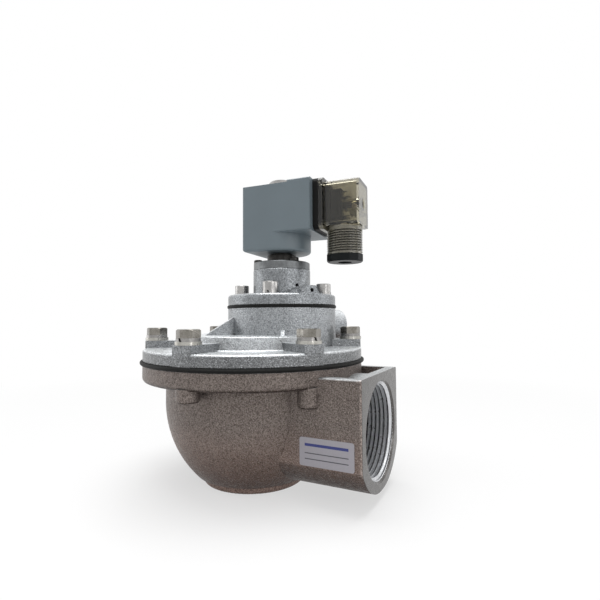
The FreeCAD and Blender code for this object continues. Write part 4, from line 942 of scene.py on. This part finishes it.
class SubAssembly:
    """Group of pieces that are finished together."""

    def paint(self, finish: Material, *names: str) -> None:
        """Give CAD nodes a finish.

        Args:
            finish: Material for all of them.
            names: Nodes of the frame.
        """
        for name in names:
            slots = frame["nodes"][name].data.materials
            slots.clear()
            slots.append(finish)
            LOG.info("finish %s on %s", finish.name, name)

    def place(self, piece: Object, body: Body, slot: Slot, finish: Material) -> None:
        """Finish a new piece and let it ride on a body.

        Args:
            piece: New piece.
            body: Body that carries it.
            slot: Not used.
            finish: Its material.
        """
        piece.data.materials.clear()
        piece.data.materials.append(finish)
        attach(piece, body.value)
        LOG.info("piece %s with %d faces rides on %s", piece.name, len(piece.data.polygons), body.value)

    def spring(self, node: str, stroke: Stroke, finish: Material) -> None:
        """Replace a rigid spring by a smooth-shaded copy of its mesh.

        Args:
            node: Spring's node of the frame.
            stroke: Not used.
            finish: Material of the wire.
        """
        piece = node_copy(node, node + "_coil")
        smooth(piece)
        self.place(piece, Body.VALVE, Slot.SPRING_STEEL, finish)
        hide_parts(node)
        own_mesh(piece)


def made(look: MetalFinish | MouldFinish) -> Material:
    """Return a field that builds its material when its owner is set up."""
    return field(default_factory=look.material)


@dataclass
class Workshop:
    """Finishes that several sub-assemblies share."""

    zinc: Material = made(MetalFinish("zinc_plate", (0.47, 0.46, 0.43), (0.31, 0.30, 0.27), 0.27))
    bolt_zinc: Material = made(MetalFinish("bolt_zinc", (0.30, 0.285, 0.26), (0.15, 0.14, 0.12), 0.22))
    dark_steel: Material = made(MetalFinish("dark_steel", (0.045, 0.043, 0.041), (0.018, 0.017, 0.016), 0.34))
    stainless: Material = made(MetalFinish("stainless", (0.42, 0.41, 0.40), (0.27, 0.265, 0.26), 0.24))
    spring_wire: Material = made(MetalFinish("spring_wire", (0.33, 0.32, 0.31), (0.20, 0.195, 0.19), 0.3))
    copper: Material = made(MetalFinish("copper", (0.85, 0.45, 0.30), (0.62, 0.30, 0.18), 0.3))
    rubber: Material = made(
        MouldFinish(
            "nitrile_rubber",
            (0.009, 0.009, 0.0086),
            spread=0.35,
            roughness=0.6,
            grain=0.04 * MM,
            grain_scale=1500.0,
            sheen=0.12,
        )
    )
    nylon: Material = made(
        MouldFinish(
            "black_nylon", (0.009, 0.0105, 0.011), spread=0.25, roughness=0.36, grain=0.012 * MM, sheen=0.08
        )
    )
    seal: Material = made(
        MouldFinish(
            "seal_polymer", (0.42, 0.40, 0.35), spread=0.08, roughness=0.5, grain=0.02 * MM
        )
    )


@dataclass
class ValveCasting(SubAssembly):
    """Cast body with its two pipe threads and the sticker on the port block."""

    pitch: float = 2.309 * MM
    side_chamfer: float = 1.0 * MM
    block_side: float = -29.4 * MM
    skim: float = 0.2 * MM
    bore_margin: float = 0.4 * MM
    end_margin: float = 0.5 * MM
    burr_width: float = 1.6 * MM
    foot_highlight_low: float = 18.0 * MM
    foot_highlight_high: float = 46.0 * MM
    label_low: Vector = field(default_factory=lambda: Vector((44.0, 0, 20.9)) * MM)
    label_high: Vector = field(default_factory=lambda: Vector((70.9, 0, 33.9)) * MM)
    label_thickness: float = 0.12 * MM
    label_round: float = 1.1 * MM
    light: Colour = (0.205, 0.172, 0.156)
    dark: Colour = (0.068, 0.055, 0.048)
    bright: Colour = (0.11, 0.104, 0.1)
    # Painted highlight: colour that the casting's upward faces blend towards.
    lit_top: Colour = (0.50, 0.52, 0.53)
    # Painted highlight with a warm painted reflection: this colour lightens and warms the casting's lower
    # band.
    foot: Colour = (1.38, 1.16, 1.08)
    thread_light: Colour = (0.72, 0.73, 0.75)
    thread_dark: Colour = (0.52, 0.53, 0.55)
    paper: Colour = (0.36, 0.345, 0.38)
    blue_ink: Colour = (0.03, 0.04, 0.19)
    grey_ink: Colour = (0.07, 0.07, 0.08)

    def threads(self) -> list[PortThread]:
        """Describe the threads of the two pipe ports.

        Returns:
            The side port's thread and the bottom port's.
        """
        rows = []
        for name, chamfer in (("side_port", self.side_chamfer), ("bottom_port", 0.0)):
            item = mount(name)
            axis = Vector(item["axis"])
            mouth = Vector(item["pos_m"]) + axis * chamfer
            radius = item["dims"]["r_mm"] * MM
            depth = item["dims"]["length_mm"] * MM + chamfer
            rows.append(PortThread(name + "_thread", mouth, axis, radius, self.pitch, depth, chamfer))
        return rows

    def finish(self) -> Material:
        """Finish the casting, with its ports and faces machined.

        Returns:
            The casting's material.
        """
        low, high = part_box("valve_body")
        zones: list[FaceZone | BoreZone] = [
            FaceZone("X", high.x - self.skim, Edge.ABOVE),
            FaceZone("Z", low.z + self.skim, Edge.BELOW),
        ]
        for thread in self.threads():
            radius = thread.major_radius + thread.chamfer + self.bore_margin
            zones.append(BoreZone(thread.mouth, thread.axis, radius, thread.depth + self.end_margin))
        return CastFinish(
            name="body_casting",
            light=self.light,
            dark=self.dark,
            machined=self.bright,
            roughness=0.42,
            grain=0.2 * MM,
            fleck_share=0.6,
            pit_share=0.7,
            zones=tuple(zones),
            burrs=(EdgeBurr(Vector((high.x, self.block_side, 0.0)), UP, self.burr_width),),
            # Painted highlight and warm painted reflection on the lower band of the casting.
            foot=HeightLightBand(self.foot, low.z + self.foot_highlight_low, low.z + self.foot_highlight_high),
            lit_top=self.lit_top,
        ).material()

    def label(self) -> Object:
        """Make the sticker, a thin plate with round corners on the block's side.

        Returns:
            The sticker.
        """
        size = self.label_high - self.label_low
        middle = (self.label_high + self.label_low) / 2
        middle.y = self.block_side - self.label_thickness / 2
        bpy.ops.mesh.primitive_cube_add(size=1.0, location=middle)
        plate = adopt("port_label")
        plate.scale = (size.x, self.label_thickness, size.z)
        settle(plate)
        bpy.ops.object.mode_set(mode="EDIT")
        bpy.ops.mesh.select_mode(type="EDGE")
        bpy.ops.mesh.select_all(action="DESELECT")
        edit = bmesh.from_edit_mesh(plate.data)
        for edge in edit.edges:
            way = edge.verts[1].co - edge.verts[0].co
            edge.select_set(abs(way.x) + abs(way.z) < WELD)
        bmesh.update_edit_mesh(plate.data)
        bpy.ops.mesh.bevel(offset=self.label_round, segments=8, affect="EDGES")
        bpy.ops.object.mode_set(mode="OBJECT")
        smooth(plate)
        return plate

    def build(self) -> None:
        """Finish the casting and add what stands on it."""
        self.paint(self.finish(), "valve_body")
        bare = MetalFinish("port_thread", self.thread_light, self.thread_dark, 0.3, metallic=0.6).material()
        for thread in self.threads():
            self.place(thread.build(), Body.VALVE, Slot.CAST_ALUMINIUM, bare)
        inks = (self.paper, self.blue_ink, self.grey_ink)
        look = LabelFinish("label_print", self.label_low, self.label_high, *inks).material()
        self.place(self.label(), Body.VALVE, Slot.CAST_ALUMINIUM, look)


@dataclass
class CoverStage(SubAssembly):
    """Main cover, its bolts and washers, the main diaphragm and what the diaphragm carries."""

    workshop: Workshop
    vent_pitch: float = 1.337 * MM
    bore_margin: float = 0.3 * MM
    rim_shade_low: float = 10.0 * MM
    rim_shade_high: float = 20.0 * MM
    stroke: Stroke = Stroke("main_lift", 81.0 * MM, 6.0 * MM)
    light: Colour = (0.37, 0.385, 0.40)
    dark: Colour = (0.15, 0.157, 0.165)
    # Painted highlight: colour that the cover's upward faces blend towards.
    lit_top: Colour = (0.84, 0.87, 0.89)
    # Painted shade: colour multiplied into the cover's rim band.
    rim_shade: Colour = (0.58, 0.57, 0.56)
    bright: Colour = (0.42, 0.43, 0.45)
    thread_light: Colour = (0.66, 0.67, 0.68)
    thread_dark: Colour = (0.46, 0.47, 0.48)

    def vent(self) -> PortThread:
        """Describe the fine thread of the vent port.

        Returns:
            The thread.
        """
        item = mount("vent_port")
        axis = Vector(item["axis"]).normalized()
        radius = item["dims"]["r_mm"] * MM
        depth = item["dims"]["length_mm"] * MM
        return PortThread("vent_port_thread", Vector(item["pos_m"]), axis, radius, self.vent_pitch, depth)

    def build(self) -> None:
        """Finish the cover and its fasteners, and cut the vent's thread."""
        shop = self.workshop
        vent = self.vent()
        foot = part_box("main_cover")[0].z
        finish = CastFinish(
            name="cover_casting",
            light=self.light,
            dark=self.dark,
            machined=self.bright,
            roughness=0.32,
            grain=0.14 * MM,
            fleck_share=0.55,
            zones=(BoreZone(vent.mouth, vent.axis, vent.major_radius + self.bore_margin, vent.depth),),
            # Painted shade on the cover's rim band.
            foot=HeightLightBand(self.rim_shade, foot + self.rim_shade_low, foot + self.rim_shade_high),
            lit_top=self.lit_top,
        ).material()
        self.paint(finish, "main_cover")
        self.paint(shop.bolt_zinc, "cover_bolts")
        self.paint(shop.zinc, "cover_flat_washers")
        self.paint(shop.spring_wire, "cover_spring_washers")
        self.paint(shop.rubber, "main_diaphragm")
        self.paint(shop.zinc, "main_upper_plate", "main_stack_washer", "main_stack_bolt", "main_stack_nut")
        self.paint(shop.seal, "main_seat_disc")
        self.spring("main_spring", self.stroke, shop.spring_wire)
        bare = MetalFinish("vent_thread", self.thread_light, self.thread_dark, 0.3, metallic=0.6).material()
        self.place(vent.build(), Body.VALVE, Slot.COVER_ALUMINIUM, bare)


@dataclass
class PilotStage(SubAssembly):
    """Pilot cover, its screws, the pilot diaphragm and the armature tube's group."""

    workshop: Workshop
    pilot_stroke: Stroke = Stroke("pilot_lift", 108.0 * MM, 3.0 * MM)
    plunger_stroke: Stroke = Stroke("plunger_lift", 147.8 * MM, 1.7 * MM)
    light: Colour = (0.29, 0.305, 0.32)
    dark: Colour = (0.11, 0.115, 0.12)
    plate_light: Colour = (0.18, 0.187, 0.192)
    plate_dark: Colour = (0.115, 0.12, 0.123)

    def build(self) -> None:
        """Finish every piece of the pilot stage."""
        shop = self.workshop
        # The casting's default top and underside colours paint highlight on its tops and shade under it.
        finish = CastFinish(
            name="pilot_casting",
            light=self.light,
            dark=self.dark,
            machined=self.light,
            roughness=0.27,
            grain=0.09 * MM,
            fleck_share=0.5,
        ).material()
        plate = MetalFinish(
            "clamp_plate", self.plate_light, self.plate_dark, 0.38, grain=0.03 * MM
        ).material()
        self.paint(finish, "pilot_cover")
        self.paint(plate, "tube_clamp_plate")
        self.paint(shop.stainless, "pilot_cover_screws", "pilot_cover_spring_washers", "fixed_core")
        self.paint(shop.dark_steel, "armature_tube", "tube_screws")
        self.paint(shop.stainless, "plunger", "pilot_rivet", "pilot_upper_plate")
        self.paint(shop.rubber, "pilot_diaphragm", "tube_o_ring", "plunger_seal")
        self.paint(shop.seal, "pilot_seat_disc")
        self.spring("pilot_spring", self.pilot_stroke, shop.spring_wire)
        self.spring("plunger_spring", self.plunger_stroke, shop.spring_wire)
        self.paint(shop.copper, "shading_ring")


@dataclass
class CoilAndPlug(SubAssembly):
    """Grey coil, its nut, the smoky clear plug and the threaded gland."""

    workshop: Workshop
    gasket_lap: float = 1 / 15
    gland_pitch: float = 1.41 * MM
    gland_radius: float = 10.2 * MM
    thread_depth: float = 0.75 * MM
    thread_gap: float = 0.6 * MM
    groove_margin: float = 0.3 * MM
    groove_share: float = 0.93
    groove_floor: float = 0.2
    grey: Colour = (0.142, 0.176, 0.196)
    smoke: Colour = (0.42, 0.395, 0.31)
    nickel_light: Colour = (0.74, 0.72, 0.66)
    nickel_dark: Colour = (0.52, 0.50, 0.45)
    laminate: Colour = (0.34, 0.33, 0.22)
    lens: Colour = (0.50, 0.44, 0.38)

    def gland_top(self) -> float:
        """Return the height at which the gland meets the plug's floor."""
        low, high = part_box("connector_gasket")
        return low.z + (high.z - low.z) * self.gasket_lap

    def housing(self) -> Object:
        """Copy the clear housing and cut a thread round its gland.

        Returns:
            The plug's shell.
        """
        piece = node_copy("connector_housing", "plug_shell")
        entry = Vector(mount("cable_entry")["pos_m"])
        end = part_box("connector_housing")[0].z
        turns = math.floor((self.gland_top() - end - 2 * self.thread_gap) / self.gland_pitch) - 1
        groove = HelixRidge(
            base_radius=self.gland_radius + self.groove_margin,
            crest_radius=self.gland_radius - self.thread_depth,
            base_width=self.groove_share * self.gland_pitch,
            crest_width=self.groove_floor * self.gland_pitch,
            pitch=self.gland_pitch,
            turns=turns,
            top=turns * self.gland_pitch,
            steps=72,
        ).build("gland_groove")
        groove.location = (entry.x, entry.y, end + self.thread_gap)
        settle(groove)
        cut_away(piece, groove)
        smooth(piece)
        return piece

    def clear(self) -> Material:
        """Return the finish of the clear housing."""
        gland = (self.gland_top(), Vector(mount("cable_entry")["pos_m"]), self.gland_radius)
        return ClearFinish("smoky_plastic", self.smoke, 0.04, *gland).material()

    def build(self) -> None:
        """Finish the coil and the plug."""
        shop = self.workshop
        coil = MouldFinish(
            "coil_moulding", self.grey, spread=0.05, roughness=0.42, grain=0.02 * MM, grain_scale=3000.0
        ).material()
        nickel = MetalFinish("nickel_plate", self.nickel_light, self.nickel_dark, 0.2).material()
        board = MouldFinish(
            "board_laminate", self.laminate, spread=0.2, roughness=0.4, grain=0.01 * MM
        ).material()
        lamp = MouldFinish("lamp_lens", self.lens, spread=0.08, roughness=0.15, grain=0.004 * MM).material()
        self.paint(coil, "coil_housing")
        self.paint(shop.stainless, "coil_terminals", "coil_washer", "coil_nut")
        self.paint(shop.dark_steel, "connector_screw")
        self.paint(shop.rubber, "connector_gasket", "gland_grommet")
        self.paint(shop.nylon, "connector_carrier", "gland_nut")
        self.paint(nickel, "connector_contacts")
        self.paint(shop.zinc, "contact_screws", "gland_washer")
        self.paint(board, "indicator_board")
        self.paint(lamp, "indicator_lamp")
        shell = self.housing()
        self.place(shell, Body.COIL, Slot.SMOKY_CLEAR, self.clear())
        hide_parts("connector_housing")


@dataclass(frozen=True)
class Lamp:
    """Soft rectangular lamp that points at the valve."""

    name: str
    place: Vector
    width: float
    height: float
    power: float

    def build(self, target: Vector) -> None:
        """Add the lamp and turn it to the target.

        Args:
            target: Point that the lamp faces.
        """
        data = bpy.data.lights.new(self.name, "AREA")
        data.shape = "RECTANGLE"
        data.size = self.width
        data.size_y = self.height
        data.energy = self.power
        lamp = bpy.data.objects.new(self.name, data)
        bpy.context.scene.collection.objects.link(lamp)
        turn = (target - self.place).to_track_quat("-Z", "Y").to_matrix().to_4x4()
        lamp.matrix_world = Matrix.Translation(self.place) @ turn


@dataclass
class Studio:
    """Pale floor, soft lamps, white surroundings and the camera."""

    camera_place: Vector = field(default_factory=lambda: Vector((135.1, -206.5, 88.3)) * MM)
    heading: float = math.radians(27.06)
    pitch: float = math.radians(2.66)
    roll: float = math.radians(-0.33)
    lens: float = 25.25
    target: Vector = field(default_factory=lambda: Vector((5.0, 0.0, 75.0)) * MM)
    floor_radius: float = 12.0
    floor_colour: Colour = (0.84, 0.84, 0.84)
    fade_near: float = 0.1
    fade_far: float = 0.5
    near_white: float = 0.6
    room_colour: Colour = (0.25, 0.25, 0.25)

    def surroundings(self) -> None:
        """Make the world white where it is seen and reflected, and a soft grey light elsewhere."""
        world = bpy.data.worlds.new("studio_world")
        bpy.context.scene.world = world
        world.use_nodes = True
        tree = Wiring(world.node_tree)
        grey = tree.nodes["Background"]
        tree.plug(grey.inputs["Color"], self.room_colour)
        tree.plug(grey.inputs["Strength"], 1.0)
        white = tree.add("Background", WHITE, 1.0)
        mix = tree.add("MixShader", tree.seen(), grey.outputs[0], white.outputs[0])
        tree.plug(tree.nodes["World Output"].inputs["Surface"], mix.outputs[0])

    def floor(self) -> None:
        """Lay a pale floor that keeps the shadow and turns white further out."""
        bpy.ops.mesh.primitive_circle_add(vertices=96, radius=self.floor_radius, fill_type="NGON")
        floor = adopt("studio_floor")
        recipe = Recipe("studio_floor")
        recipe.fix("Base Color", self.floor_colour)
        recipe.fix("Roughness", 0.9)
        recipe.fix("Specular IOR Level", 0.1)
        white = recipe.add("Emission", WHITE)
        distance = recipe.vector("LENGTH", recipe.place, output="Value")
        fade = recipe.add("MapRange", distance, self.fade_near, self.fade_far, self.near_white, 1.0)
        share = recipe.maths("MULTIPLY", fade.outputs["Result"], recipe.seen())
        mix = recipe.add("MixShader", share, recipe.shader.outputs[0], white.outputs[0])
        recipe.plug(recipe.nodes["Material Output"].inputs["Surface"], mix.outputs[0])
        floor.data.materials.append(recipe.material)

    def lamps(self) -> None:
        """Hang the soft lamps round the valve."""
        # name, place, width, height, power
        rows = (
            Lamp("top_lamp", Vector((0.0, -0.02, 0.95)), 0.7, 0.7, 8.5),
            Lamp("high_front_lamp", Vector((0.25, -0.52, 0.78)), 0.6, 0.5, 1.1),
            Lamp("left_window", Vector((-0.86, -0.25, 0.3)), 0.6, 0.7, 1.6),
            Lamp("right_strip", Vector((0.70, -0.38, 0.2)), 0.08, 0.6, 0.55),
            Lamp("port_lamp", Vector((0.82, -0.12, 0.3)), 0.3, 0.3, 0.5),
            Lamp("back_right_lamp", Vector((0.75, 0.55, 0.3)), 0.4, 0.4, 0.9),
        )
        for lamp in rows:
            lamp.build(self.target)

    def camera(self) -> None:
        """Place the camera at the photograph's viewpoint."""
        data = bpy.data.cameras.new("camera")
        data.lens = self.lens
        data.sensor_width = 36.0
        data.clip_start = 0.005
        camera = bpy.data.objects.new("camera", data)
        bpy.context.scene.collection.objects.link(camera)
        aim = Matrix.Rotation(self.heading, 4, "Z") @ Matrix.Rotation(math.pi / 2 + self.pitch, 4, "X")
        turn = aim @ Matrix.Rotation(self.roll, 4, "Z")
        camera.matrix_world = Matrix.Translation(self.camera_place) @ turn
        bpy.context.scene.camera = camera

    def build(self) -> None:
        """Set up the whole studio."""
        self.surroundings()
        self.floor()
        self.lamps()
        self.camera()
        bpy.context.scene.view_settings.view_transform = "Standard"


def main() -> None:
    """Build and finish every sub-assembly, then the studio."""
    logging.basicConfig(level=logging.INFO, format="%(message)s")
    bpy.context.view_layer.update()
    workshop = Workshop()
    for part in (ValveCasting(), CoverStage(workshop), PilotStage(workshop), CoilAndPlug(workshop)):
        part.build()
        LOG.info("built %s", type(part).__name__)
    Studio().build()


if __name__ == "__main__":
    main()
